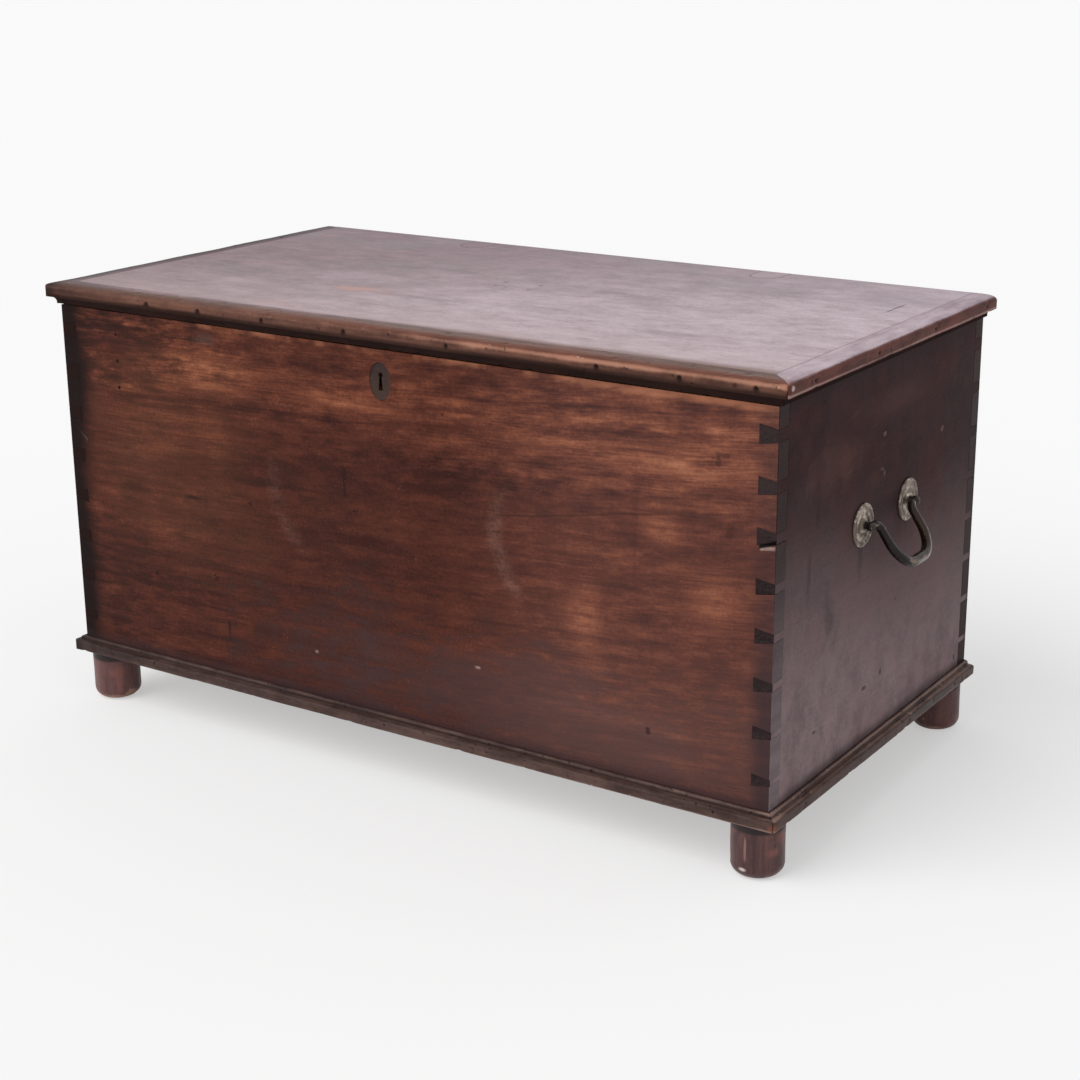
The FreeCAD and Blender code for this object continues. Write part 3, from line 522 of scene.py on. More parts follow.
# The rubbed top edge is painted orange: worn wood, and a painted highlight along its rounded arris.
rub_and_highlight_run = front.ease(front.noise(front.join(x, 0.0, 0.0), 14, detail=3) + 0.3 * front.ease(x, 0.2, 0.4)
                     - 0.2 * front.ease(x, -0.26, -0.38), -0.06, 0.10)
rubbed_and_highlit = front.ease(z + 0.010 * mottle + 0.0035 * front.ease(x, 0.18, 0.36), 0.5125, 0.5205) * rub_and_highlight_run
front.lay((0.62 + mottle) * rubbed_and_highlit, (172, 112, 84))
shaded_left = front.ease(x + 0.04 * front.cloud, -0.450, -0.486)
front.lay(0.96 * shaded_left, (19, 7, 7))
edge_noise = front.cloud + front.speck
sides = front.ease(x + 0.012 * edge_noise, 0.466, 0.490) * (0.35 + 0.45 * front.ease(z, 0.36, 0.20))
front.lay(sides.most(0.6 * front.ease(z + 0.012 * edge_noise, 0.100, 0.084)), (54, 41, 44))
wedge = line(front, *WEDGE)
front.lay(wedge, (10, 7, 7))
raw = front.ease(front.y, -0.2618, -0.2612) * front.ease(front.y, 0.2655, 0.2640)
front.lay(raw, front.tint(tone, 0.2, 0.75, *RAW_WOOD))
# Painted shade: the inside of the keyhole, seen through the plate, is painted dark on the board.
front.lay(on_front(0, KEYHOLE_HEIGHT, 8, 17, 0.5), (8, 6, 5))
tail_ends = front.ease(abs(x), 0.4991, 0.4997)
dots = front.stretched_noise((1, 900, 900), detail=1)
# Painted reflection: the end grain of the tails is painted lighter and greyer lower down, as the end face is.
floor_sheen = front.ease(z + 0.10 * front.cloud + 0.05 * mottle, 0.41, 0.10) * front.ease(front.y, 0.05, -0.20)
tail_tone = front.ease(dots + 2.0 * mottle, -0.4, 0.4)
tail_colour = front.mix(floor_sheen, front.mix(tail_tone, (26, 9, 8), (46, 22, 20)),
                        front.mix(tail_tone, (100, 86, 89), (124, 110, 113)))
front.lay(tail_ends, tail_colour)

pores = front.ease(hairs, -0.09, -0.2)
height = (0.16 * hairs + 0.16 * streaks + 0.22 * mottle - 0.10 * pores - 0.5 * cracks - 0.35 * knocks
          - 0.15 * dashes - 2.0 * wedge + 0.5 * front.cloud)
front_finish = front.finish(0.50 + 0.25 * front.cloud + 0.2 * mottle + 0.12 * smears, height,
                            specular=0.08)
print("front nodes", len(front.tree.nodes))

# %% [markdown]
# ## The ends
# The ends are in shade and have kept more polish. They are plum at the top and painted lighter and
# greyer lower down: a painted reflection of the pale floor. Their grain runs from front to back. At
# the front and back faces the ends show only their pins, as end grain, which has drunk up polish and
# gone nearly black.

# %% End finish
end = wood("end finish")
bands, streaks, hairs = grain(end, end.y, end.z, end.x, seed=3.7)
mottle = end.stretched_noise((1, 40, 30), detail=6, rough=0.64)
tone = 0.5 + 0.2 * bands + 0.15 * streaks + 0.15 * hairs + 0.5 * end.cloud + 1.1 * mottle + 0.5 * end.speck
# Painted reflection: dark plum at the top, lighter and greyer towards the bottom, where the face would mirror
# the pale floor.
high = end.ease(end.z + 0.08 * end.cloud + 0.12 * mottle + 0.06 * end.ease(end.y, -0.26, 0.2), 0.15, 0.45)
end.colour = end.mix(high, end.tint(tone, 0.1, 0.9, (106, 90, 92), (146, 127, 128)),
                     end.tint(tone, 0.1, 0.9, (36, 20, 22), (66, 42, 42)))


def on_end(y, z, half_y, half_z, soft=0.9):
    rag = 1.6 * end.cloud + 2.0 * mottle
    return spot(end, (HALF_WIDTH, y, z), (60, half_y, half_z), rag, soft)


warm = end.ease(end.noise(end.place, 17, detail=4), -0.04, 0.14)
end.lay(0.13 * warm, end.mix(high, (150, 108, 108), (92, 50, 44)))
ruddy = added(on_end, (1, -110, 430, 100, 40), (0.7, 20, 470, 130, 24), (0.6, -30, 392, 34, 16, 0.8),
              (0.4, -120, 340, 120, 14))
end.lay(0.24 * ruddy, (112, 76, 70))
stains = added(on_end, (1, -168, 392, 7, 42), (1, -186, 330, 6, 34), (1, -60, 318, 8, 56),
               (1, 60, 322, 7, 44), (0.8, 0, 352, 110, 28), (1, -135, 260, 14, 44))
end.lay(0.32 * stains, (34, 27, 31))
marks = added(on_end, (1, -11, 398, 9, 4), (1, -4, 392, 4, 7), (1, -7, 437, 6, 4),
              (1, 155, 408, 6, 5), (0.7, -72, 106, 9, 4), (0.5, -200, 200, 5, 3))
end.lay(marks * (0.24 + 0.8 * end.speck), (172, 140, 132))
dints = added(on_end, (1, -35, 147, 8, 3.5, 0.4), (1, 7, 153, 3, 4, 0.4), (1, -162, 138, 7, 2.5, 0.4),
              (1, 230, 98, 3, 5, 0.4), (0.6, 40, 232, 3, 3, 0.4))
nicks = end.ease(end.stretched_noise((1, 150, 240), detail=2), 0.22, 0.28)
end.lay((0.6 * dints).most(0.4 * nicks), (28, 21, 23))
scratches = end.join(end.y + 0.3 * end.z, end.z - 0.3 * end.y, end.x)
scratches = end.ease(end.noise(end.stretch(scratches, (22, 420, 1)), detail=2), 0.17, 0.26)
end.lay(0.09 * scratches, (150, 126, 122))
# Darker along the bottom and the back edge, and painted shade at the top, under the lid moulding.
grime = end.ease(end.z + 0.010 * end.cloud, 0.098, 0.085).most(
    end.ease(end.y + 0.012 * end.cloud, 0.254, 0.2652)).most(
    0.8 * end.ease(end.z + 0.02 * end.cloud, 0.500, 0.520))
end.lay(0.55 * grime, (38, 29, 31))
raw = end.ease(abs(end.x), 0.4990, 0.4984)
end.lay(raw, end.tint(tone, 0.2, 0.75, *RAW_WOOD))
pins = end.ease(abs(end.y - MIDDLE * MM), 0.2632, 0.2637)
dots = end.stretched_noise((300, 1, 600), detail=1)
pin_colour = end.tint(dots + 2.0 * mottle, -0.4, 0.4, (36, 28, 29), (56, 45, 45))
# The pins at the left end are painted as dark as the painted shade along the front's left edge.
end.lay(pins, end.tint(end.x, 0.1, -0.1, pin_colour, (37, 24, 22)))
wedge = line(end, *WEDGE) * end.ease(end.y, -0.2612, -0.2620)
end.lay(wedge, (10, 7, 7))
height = (0.10 * hairs + 0.12 * streaks + 0.25 * mottle + 0.5 * end.cloud - 0.3 * dints - 0.12 * nicks
          - 0.08 * end.ease(hairs, -0.09, -0.2))
end_finish = end.finish(0.46 + 0.3 * end.cloud + 0.2 * mottle, height, specular=0.02)
print("end nodes", len(end.tree.nodes))

# %% [markdown]
# ## The lid
# The top has been sat on, leaned on and dusted for two centuries. Its polish is scuffed to a pale
# bloom, and the sheen it shows at a low angle is painted into its colour: browner at the left,
# colder and paler towards the right end and the front, greyer at the back. This pale layer, bloom
# and painted sheen, lies thin over the wood colour, broken by the streaks.

# %% Lid finish
def scuffed_with_sheen(recipe, tone):
    """The pale top: the scuffed bloom with a painted sheen. Brown at the left, colder and paler towards
    the right and the front, where the sheen is painted, greyer at the back, and streaked by the tone."""
    # Painted sheen: paler and colder towards the right end and the front.
    painted_sheen = recipe.ease(recipe.x - 1.2 * recipe.y + 0.4 * recipe.cloud, -0.58, 0.55)
    streak = recipe.ease(tone, 0.0, 1.0)
    bloom = recipe.mix(painted_sheen, recipe.mix(streak, (78, 52, 58), (136, 105, 111)),
                       recipe.mix(streak, (144, 121, 129), (206, 189, 197)))
    return recipe.mix(0.18 * recipe.ease(recipe.y, 0.0, 0.22), bloom, (118, 104, 120))


lid = wood("lid finish")
level = lid.y + 0.02 * lid.noise(lid.place, 2.0, detail=2)
bands, streaks, hairs = grain(lid, lid.x, level, lid.z, seed=8.1)
mottle = figure(lid, lid.x, level)
blots = lid.stretched_noise((26, 44, 1), detail=6, rough=0.68)
tone = (0.5 + 0.35 * bands + 0.15 * streaks + 0.12 * hairs + 0.6 * lid.cloud + 0.5 * mottle + 1.1 * blots
        + 0.5 * lid.speck)
lid.colour = scuffed_with_sheen(lid, tone)
lid.lay(0.3 * lid.ease(lid.y, -0.10, -0.26), (168, 136, 130))


def on_lid(x, y, half_x, half_y, soft=0.9):
    return spot(lid, (x, y, TOP), (half_x, half_y, 15), 1.4 * lid.cloud + 2.4 * mottle, soft)


smudged = added(on_lid, (1, -322, 122, 52, 12), (0.7, -280, -14, 30, 10), (1, -368, -172, 26, 9),
                (0.8, 130, 38, 40, 12), (0.5, -60, -110, 110, 12), (0.5, 300, -130, 90, 12),
                (0.7, -120, 60, 60, 14), (0.5, -430, -60, 70, 14), (0.5, 230, 150, 120, 16))
lid.lay(0.5 * smudged, (84, 66, 78))
worn = added(on_lid, (1, -165, -105, 40, 18), (0.6, -135, -100, 60, 30), (0.5, -440, 195, 18, 14),
             (0.5, -180, -225, 60, 16), (0.4, 150, -232, 50, 12), (0.3, 485, -60, 12, 60))
lid.lay(0.36 * worn, (186, 128, 108))
holes = added(on_lid, (1, -28, 28, 3.2, 3.2, 0.5), (1, 22, 30, 3, 3, 0.5), (1, -26, 2, 3.5, 3.5, 0.5),
              (1, 24, 0, 3.2, 3.2, 0.5), (1, -8, -2, 2.5, 2.5, 0.5), (1, 448, 125, 2.5, 30, 0.5),
              (0.5, 232, -204, 16, 2, 0.5), (0.5, 300, -100, 14, 2, 0.5))
nicks = lid.ease(lid.stretched_noise((110, 170, 1), detail=2), 0.23, 0.29)
lid.lay((0.65 * holes).most(0.35 * nicks), (52, 42, 46))
nose_side = lid.ease(lid.y - 0.017 * lid.ease(lid.x, -0.40, 0.35) + 0.02 * lid.cloud, -0.2445, -0.2620)
lid.lay(0.85 * nose_side, (112, 80, 70))
edges = lid.ease(abs(lid.x) + 0.003 * lid.speck, 0.4842, 0.4858)
lid.lay(0.6 * edges, (50, 38, 40))
under = lid.ease(lid.z, 0.5462, 0.5450)
lid.lay(under, lid.tint(tone, 0.2, 0.75, (88, 52, 38), (134, 88, 62)))
height = (0.08 * hairs + 0.12 * streaks + 0.2 * mottle + 0.25 * blots + 0.6 * lid.cloud - 0.8 * holes
          - 0.1 * nicks)
lid_finish = lid.finish(0.42 + 0.3 * lid.cloud + 0.3 * mottle, height, specular=0.22)
print("lid nodes", len(lid.tree.nodes))

# %% [markdown]
# ## Patches, inside wood and feet
# Behind the lid two pieces of wood are let in over the hinges. They are cut from another plank, so
# their streaks don't line up. The bottom boards and the till are raw cheap wood. Each is its own
# small recipe, because a shared one would line them up.

# %% Patch and inner finishes
patch = wood("patch finish")
bands, streaks, hairs = grain(patch, patch.x * 0.6 + patch.y * 0.8, patch.y * 0.6 - patch.x * 0.8,
                              patch.z, seed=5.5)
tone = 0.5 + 0.7 * bands + 0.5 * streaks + 0.3 * hairs + 0.8 * patch.cloud + 0.2 * patch.speck
before_middle = (patch.y - 0.2366) * patch.ease(patch.y, 0.2367, 0.2366)
off_middle = patch.length(patch.join(abs(patch.x) - 0.223, before_middle, 0.0))
rim = patch.ease(off_middle + 0.002 * patch.cloud, 0.0190, 0.0204).most(
    patch.ease(patch.y + 0.003 * patch.cloud, 0.2650, 0.2655))
patch.colour = scuffed_with_sheen(patch, tone)
patch.lay(0.6 * rim, (56, 44, 48))
patch_finish = patch.finish(0.44 + 0.3 * patch.cloud, 0.12 * hairs + 0.2 * streaks, specular=0.22)

inner = wood("inner finish")
bands, streaks, hairs = grain(inner, inner.x, inner.y, inner.z, seed=1.9)
tone = 0.5 + 0.9 * bands + 0.7 * streaks + 0.35 * hairs + 0.2 * inner.speck
inner.ramp(tone, (0.1, 84, 58, 40), (0.5, 128, 94, 66), (0.9, 162, 126, 92))
dust = inner.ease(inner.cloud + 0.6 * inner.speck, 0.0, 0.3)
inner.lay(0.25 * dust, (120, 112, 100))
under = inner.ease(inner.z, 0.0672, 0.0662)
inner.lay(0.6 * under, (66, 52, 44))
height = 0.18 * hairs + 0.3 * streaks + 0.4 * inner.cloud
inner_finish = inner.finish(0.72 + 0.2 * inner.cloud, height, specular=0.25)
print("patch nodes", len(patch.tree.nodes), "inner nodes", len(inner.tree.nodes))

# %% [markdown]
# ## Mouldings
# The mouldings are thin strips planed to a section, cut at 45 degrees at the corners and nailed on.
# They take every knock. Their grain runs along the strip, so the finish reads the strip's own
# lengths, which are kept as a UV map. Two numbers on each point, worked out with the shape, say
# where hands and feet rub and a highlight is painted, and where dirt stays and shade is painted.


# %% Moulding finishes
def strip_finish(name, dark, middle, bright, dirt_and_shade, sheen, seed):
    """Wood that runs along a strip: streaks by the strip's lengths, then grime with painted shade, then wear
    with painted highlights.
    """
    strip = wood(name)
    along, around, _ = strip.split(strip.make("UVMap", uv_map="run"))
    bands, streaks, hairs = grain(strip, along, around, 0.0, seed)
    wear, dirty_and_shaded, bloom = (strip.mark(name) for name in ("wear", "grime", "bloom"))
    mottle = figure(strip, along, around)
    tone = (0.5 + 0.5 * bands + 0.5 * streaks + 0.3 * hairs + 0.7 * strip.cloud + 1.1 * mottle
            + 0.3 * strip.speck)
    strip.colour = strip.tint(tone, 0.1, 0.9, dark, middle)
    patchy = strip.noise(strip.join(along, 0.3 * around, seed), 22, detail=4)
    wear = wear * (0.5 + 0.5 * strip.ease(strip.x, -0.05, 0.35))
    rubbed_and_highlit = strip.ease(wear + 1.0 * patchy + 0.7 * mottle + 0.2 * strip.speck, 0.25, 1.05)
    # Grime and painted shade: where that number is high, mostly in the hollows, the strip is darkened.
    soiled_and_shaded = strip.ease(dirty_and_shaded + 0.5 * strip.cloud + 0.6 * mottle, 0.3, 0.9)
    chips = strip.ease(strip.noise(strip.place, 120, detail=2), 0.17, 0.23) * strip.ease(wear, 0.2, 0.6)
    pits = strip.ease(strip.noise(strip.place, 130, detail=2), -0.16, -0.22)
    strip.lay(0.8 * rubbed_and_highlit, bright)
    strip.lay(0.6 * chips, (206, 172, 154))
    strip.lay(0.7 * pits, (34, 23, 23))
    strip.lay(strip.ease(bloom + 0.5 * strip.cloud + 0.3 * mottle, 0.1, 0.9), scuffed_with_sheen(strip, tone))
    # Painted against the light: the up-facing shoulder of the front nose is painted a warmer, darker brown,
    # against the grey sheen of the bright room on it.
    shoulder = strip.ease(strip.z, 0.5425, 0.5475) * strip.ease(strip.y, -0.255, -0.262)
    strip.lay(0.34 * shoulder * strip.ease(strip.x, -0.30, 0.05), (122, 64, 44))
    rag = 2.0 * strip.cloud
    strip.lay(0.7 * spot(strip, (512, -275, 71), (11, 13, 9), rag), (146, 88, 68))
    strip.lay(0.6 * spot(strip, (456, -273, 539.5), (3, 6, 3), rag), dirt_and_shade)
    corner_chip = spot(strip, (515, -266, 541.5), (3.4, 4, 3.2), rag)
    strip.lay(0.65 * corner_chip, (214, 196, 192))
    # Painted shade: the strips are darkened towards the left end, most at the far left tip, which turns from
    # the light.
    far_end_shade = 0.42 * strip.ease(strip.x, -0.36, -0.47) + 0.43 * strip.ease(strip.x, -0.488, -0.506)
    strip.lay((0.88 * soiled_and_shaded).most(far_end_shade), dirt_and_shade)
    relief = 0.14 * hairs + 0.16 * streaks + 0.3 * mottle + 0.25 * strip.speck - 0.35 * chips - 0.4 * pits
    rough = 0.44 + 0.3 * strip.cloud + 0.1 * rubbed_and_highlit + 0.4 * soiled_and_shaded
    return strip.finish(rough, relief, specular=sheen)


lid_strip_finish = strip_finish("lid moulding finish", (66, 42, 36), (116, 78, 64),
                                (180, 130, 108), (26, 13, 12), 0.10, 0.7)
lid_end_finish = strip_finish("lid end moulding finish", (62, 32, 29), (108, 64, 57),
                              (160, 126, 120), (24, 13, 13), 0.05, 2.9)
base_strip_finish = strip_finish("base moulding finish", (48, 34, 32), (93, 71, 65),
                                 (140, 114, 105), (26, 19, 19), 0.12, 4.3)
print("moulding finishes ready")

# %% [markdown]
# Each moulding is its section carried along the strip. The section is drawn as the plane left it,
# with its corners barely softened. At each place the skin is then pushed inwards a little by slow
# hills and dents, most on the nose and not at all on the hidden faces. The push fades towards a
# mitre, so both strips still meet there, and the worn tip of the corner is the same on both.


# %% Moulding
def moulding(name, section, place, ends, hidden, rubs_and_highlights, soils_and_shade, finish, body, seed, nails=(), nail_at=0.0,
             knocks=36, fade=(36, 11, 0.017), tip=9.0, pit=0.8):
    """The section of (out, up) carried along the run. ends gives, for the start and the end of the
    run, its place and how far it grows with each millimetre outwards, so 1 is a mitre and 0 a square
    end. At each point the skin goes in by (hills + dents + nail pits) times how open the point is.
    fade says where the bloom, with its painted sheen, starts: far from the nose, near it, and how that drifts
    along the run.
    The tip of a mitre is a quarter round seen from above: at a distance s from it, for s under
    tip * sqrt(1/2), nothing stands out further than the nose less tip - sqrt(tip ** 2 - (tip *
    sqrt(1/2) - s) ** 2)."""
    out, up = section.T
    turn_next, turn_back = np.roll(section, -1, axis=0), np.roll(section, 1, axis=0)
    facing = (turn_next - turn_back) @ np.array([[0, -1], [1, 0]])
    facing /= np.linalg.norm(facing, axis=1, keepdims=True)
    turned_area = np.sum(out * np.roll(up, -1) - np.roll(out, -1) * up)
    facing *= np.sign(turned_area)
    around = np.concatenate([[0], np.cumsum(np.linalg.norm(np.diff(section, axis=0), axis=1))])
    (start, start_grow), (stop, stop_grow) = ends
    first, last = start + start_grow * out, stop + stop_grow * out
    stations = int((last.max() - first.min()) / 2) + 1
    share = np.linspace(0, 1, stations)[:, None]
    along = first + (last - first) * share
    flat = np.broadcast_to(around, along.shape)
    open_to_hands = np.clip(np.min([np.hypot(*(section - h).T) for h in hidden], axis=0) / 5 - 0.15, 0, 1)
    from_mitre = np.full(along.shape, 1e3)
    for here, grows in ((first, start_grow), (last, stop_grow)):
        if grows:
            from_mitre = np.minimum(from_mitre, np.abs(along - here))
    knock_rng = np.random.default_rng(seed)
    open_places = around[open_to_hands > 0.9]
    spots = np.stack([knock_rng.uniform(first.min(), last.max(), knocks),
                      knock_rng.choice(open_places, knocks)], axis=-1)
    push = (0.32 + 0.30 * hills(along, flat, 60, 16, seed) + 0.10 * hills(along, flat, 11, 5, seed + 1)
            + 0.9 * dents(along, flat, spots, knock_rng.uniform(1.6, 4.5, knocks)))
    if len(nails):
        nail_around = around[np.argmin(np.hypot(out - out.max(), up - nail_at))]
        nail_pits = dents(along, flat, np.array([(n, nail_around) for n in nails]), 3.0)
        push = push + pit * nail_pits
    left_over = np.clip(tip * math.sqrt(0.5) - from_mitre, 0, None)
    nose_limit = out.max() - tip + np.sqrt(tip ** 2 - left_over ** 2)
    push = np.clip(push * (1 - np.exp(-from_mitre / 6)), 0, None) * open_to_hands
    worn_out = np.minimum(out - push * facing[:, 0], nose_limit)
    worn_up = up - push * facing[:, 1]
    first, last = start + start_grow * worn_out, stop + stop_grow * worn_out
    along = first + (last - first) * share
    near = [sum(g * np.exp(-((out - o) ** 2 + (up - u) ** 2) / r ** 2) for o, u, r, g in spots_on)
            for spots_on in (rubs_and_highlights, soils_and_shade)]
    wear = near[0] * (0.75 + 0.35 * hills(along, flat, 90, 60, seed + 2) + 0.8 * np.exp(-from_mitre / 14))
    grime = near[1] + 0.5 * np.exp(-(from_mitre / 1.2) ** 2)
    if len(nails):
        grime = grime + 1.2 * pit * nail_pits
    from_nose = out.max() - out
    bare_to = fade[1] + fade[2] * (along + 400)
    bloom = np.clip((up - 24) / 2, 0, 1) * np.clip((from_nose - bare_to) / (fade[0] - fade[1]), 0, 1)
    grid = np.stack(place(along, worn_out, worn_up), axis=-1) * MM
    skin(name, grid, finish, body, [name.removesuffix("_worn")],
         lengths=(along * MM, around * MM), marks={"wear": wear, "grime": grime, "bloom": bloom})


def lid_section(nose):
    """The lid moulding from its hidden face round: top, rounded shoulder, nose, lip and hollow."""
    back, lip = nose - 30, nose - 11
    return softened(np.concatenate([
        run((back, 1.2), (back, 27), gaps=2), run((back, 27), (back, 28), gaps=3),
        run((back, 28), (back + 1, 28), gaps=3), run((back + 1, 28), (nose - 14, 28), gaps=9),
        quarter((nose - 14, 28), (nose, 28), (nose, 21.6), gaps=18),
        run((nose, 21.6), (nose, 12.5), gaps=10),
        quarter((nose, 12.5), (nose, 10.5), (nose - 2, 10.5), gaps=5),
        run((nose - 2, 10.5), (nose - 4, 10.5), gaps=3),
        quarter((nose - 4, 10.5), (lip, 10.5), (lip, 3.5), gaps=9), run((lip, 3.5), (lip, 1.2), gaps=4),
        run((lip, 1.2), (lip - 1, 1.2), gaps=3), run((lip - 1, 1.2), (back, 1.2), gaps=2)]))


def hollow_dirt_and_shade(nose):
    """Where the hollow under the nose is darkened, by dirt and by painted shade, as (out, up, reach,
    strength).
    """
    return [(nose - 9, 7.5, 4, 1.4), (nose - 4, 10.5, 2.5, 0.7), (nose - 11, 2, 3, 1.4)]


LID_NAILS = (-342, -259, -161, -40, 102, 294, 393, 480)
END_NAILS = (-215.4, -65.1, 85.3, 235.6)
# On the front nose the rub is worn wood with a painted highlight, and the lower nose at (13, 13) is painted
# dark as shade, as is the hollow under it.
rubs_and_highlights = [(11.8, 23.2, 3.8, 1.0)]
soils_and_shade = hollow_dirt_and_shade(13) + [(13, 13, 5.2, 0.78)]
moulding("lid_moulding_front_worn", lid_section(13), lambda r, o, u: (r, FRONT - o, RIM + u),
         ((-HALF_WIDTH - 3, -1), (HALF_WIDTH + 3, 1)), [(-17, 1.2), (-17, 14), (-17, 28), (-10, 1.2)],
         rubs_and_highlights, soils_and_shade, lid_strip_finish, "lid", 11, LID_NAILS, 18.5, knocks=46)
# On the end noses a painted highlight runs along the lip, and the hollow under the nose is painted dark as
# shade.
rubs_and_highlights, soils_and_shade = [(13, 25.5, 2.2, 0.5), (15.8, 13.2, 1.5, 1.4)], hollow_dirt_and_shade(16)
for name, way in (("lid_moulding_right_worn", 1), ("lid_moulding_left_worn", -1)):
    moulding(name, lid_section(16), lambda r, o, u: (way * (HALF_WIDTH + o), r, RIM + u),
             ((FRONT + 3, -1), (BACK, 0)), [(-14, 1.2), (-14, 14), (-14, 28), (-7, 1.2)], rubs_and_highlights, soils_and_shade,
             lid_end_finish, "lid", 20 + way, END_NAILS, 18.5, knocks=24, fade=(6, 0.8, 0.0))

# %% [markdown]
# The base moulding is smaller: a fine bead, a quirk and a rounded step. Its lower edge is scuffed
# pale by feet and floors.

# %% Base mouldings
BASE_NAILS, BASE_END_NAILS = np.linspace(-440, 440, 7), np.linspace(-202.4, 205.6, 4)
base_section = softened(np.concatenate([
    run((0, 0), (0, 17), gaps=2), run((0, 17), (0, 18), gaps=3), run((0, 18), (2.6, 18), gaps=5),
    quarter((2.6, 18), (5.2, 18), (5.2, 15.4), gaps=8), run((5.2, 15.4), (5.2, 13.8), gaps=4),
    quarter((5.2, 13.8), (13.5, 13.8), (13.5, 11.2), gaps=14), run((13.5, 11.2), (13.5, 2.6), gaps=10),
    quarter((13.5, 2.6), (13.5, 0), (10.9, 0), gaps=7), run((10.9, 0), (1, 0), gaps=5),
    run((1, 0), (0, 0), gaps=3)]))
rubs_and_highlights = [(3.8, 17.4, 2.4, 0.6), (9.5, 13.9, 3.2, 0.35), (12.8, 0.9, 2.2, 1.5)]
soils_and_shade = [(5.3, 14.0, 1.2, 0.75), (0.3, 18, 1.2, 0.9), (6, 0, 6, 0.6)]
hidden = [(0, 0), (0, 9), (0, 18)]
moulding("base_moulding_front_worn", base_section, lambda r, o, u: (r, FRONT - o, BASE + u),
         ((-HALF_WIDTH, -1), (HALF_WIDTH, 1)), hidden, rubs_and_highlights, soils_and_shade, base_strip_finish, "case", 31,
         BASE_NAILS, 8, knocks=40, tip=13.0, pit=0.3)
rubs_and_highlights = [(3.8, 17.4, 2.4, 1.3), (9.5, 13.9, 3.2, 1.2), (12.8, 0.9, 2.2, 1.2)]
soils_and_shade = [(5.3, 14.0, 1.2, 0.3), (0.3, 18, 1.2, 0.9), (13.5, 8, 5, 0.25), (6, 0, 6, 0.6)]
for name, way in (("base_moulding_right_worn", 1), ("base_moulding_left_worn", -1)):
    moulding(name, base_section, lambda r, o, u: (way * (HALF_WIDTH + o), r, BASE + u),
             ((FRONT, -1), (BACK, 0)), hidden, rubs_and_highlights, soils_and_shade, base_strip_finish, "case", 40 + way,
             BASE_END_NAILS, 8, knocks=22, tip=13.0, pit=0.3)

# %% [markdown]
# ## Iron and cast metal
# Nails, hinges, lock and bails are wrought iron gone brown-black, and the roses are cast metal with
# a grey-gold skin. Old metal isn't mirror bright: it is a dark coat with brighter metal where it
# rubs, and on the bails also where a highlight is painted. So one recipe mixes coat and metal by
# noise, and roughness follows the same mask.


# %% Metal finishes
def metal_finish(name, coat, bare, pits, bare_from, gloss, scale, shine=0.4):
    """Dark coat and bare metal mixed by two sizes of noise, with small pits. Where a piece has a
    wear-and-highlight number it turns bare: rubbed by hands, and on the bails a painted highlight.
    shine says how far it mirrors as clean metal does."""
    metal = wood(name)
    blotch = metal.noise(metal.place, scale, detail=5, rough=0.65)
    fine = metal.noise(metal.place, scale * 7, detail=3, rough=0.7)
    bare_and_glint = metal.ease(blotch + 0.6 * fine + 0.42 * metal.mark("wear"), bare_from, bare_from + 0.22)
    pitted = metal.ease(fine - 0.3 * blotch, 0.12, 0.24)
    metal.colour = metal.mix(bare_and_glint, coat, bare)
    metal.lay(0.7 * pitted, pits)
    metal.lay(0.35 * metal.ease(metal.cloud, 0.0, 0.25), (84, 62, 50))
    relief = 0.35 * blotch + 0.18 * fine - 0.25 * pitted
    return metal.finish(gloss + 0.5 * pitted - 0.12 * bare_and_glint + 0.4 * fine, relief, specular=shine,
                        metal=shine * (1.5 + 0.75 * bare_and_glint))


iron_finish = metal_finish("iron finish", (50, 44, 41), (120, 112, 104), (24, 20, 19),
                           0.06, 0.42, 70)
nail_finish = metal_finish("nail finish", (34, 20, 18), (58, 40, 36), (18, 11, 10),
                           0.06, 0.55, 70, shine=0.04)
bail_finish = metal_finish("bail finish", (33, 27, 24), (124, 110, 101), (14, 12, 11),
                           0.21, 0.26, 90)
rose_finish = metal_finish("rose finish", (106, 93, 83), (196, 182, 168), (50, 40, 36),
                           -0.02, 0.42, 150)
plate_finish = metal_finish("keyhole plate finish", (50, 36, 32), (98, 78, 70),
                            (24, 19, 18), 0.08, 0.5, 130)

# %% [markdown]
# ## Nails
# Each nail is a cut nail with a small domed head, driven a little below the wood. A head is a shape
# turned about its own middle, so one profile of (radius, height) is swung round and the turned head
# is laid at every nail place at once.


# %% Turning
def turned(profile, places):
    """A profile of (radius, height) swung round: (radius cos a, radius sin a, height)."""
    angle = np.linspace(0, 2 * math.pi, places, endpoint=False)
    radius, height = profile[:, :1], profile[:, 1:]
    return np.stack([radius * np.cos(angle), radius * np.sin(angle),
                     np.broadcast_to(height, (len(profile), places))], axis=-1)


def heads(name, lots, body, seed):
    """Nail heads: each lot is the places of some heads and the way they look, a unit vector."""
    dome = np.array([(0.3, -0.45), (0.8, -0.5), (1.3, -0.65), (1.75, -0.9), (2.1, -1.25), (2.2, -1.7),
                     (2.1, -2.3), (0.8, -2.6), (0.3, -6.0)])
    head = turned(dome, 14)
    rng = np.random.default_rng(seed)
    made = []
    for places, outward in lots:
        out = np.array(outward, float)
        level = np.cross(out, (0.0, 0.0, 1.0))
        frame_of = np.stack([level, np.cross(out, level), out])
        lean = 1 + rng.uniform(-0.08, 0.04, (len(places), 1, 1, 1))
        made.append((head * lean) @ frame_of + np.array(places, float)[:, None, None, :])
    skin(name + "_domed", np.concatenate(made) * MM, nail_finish, body, [name])


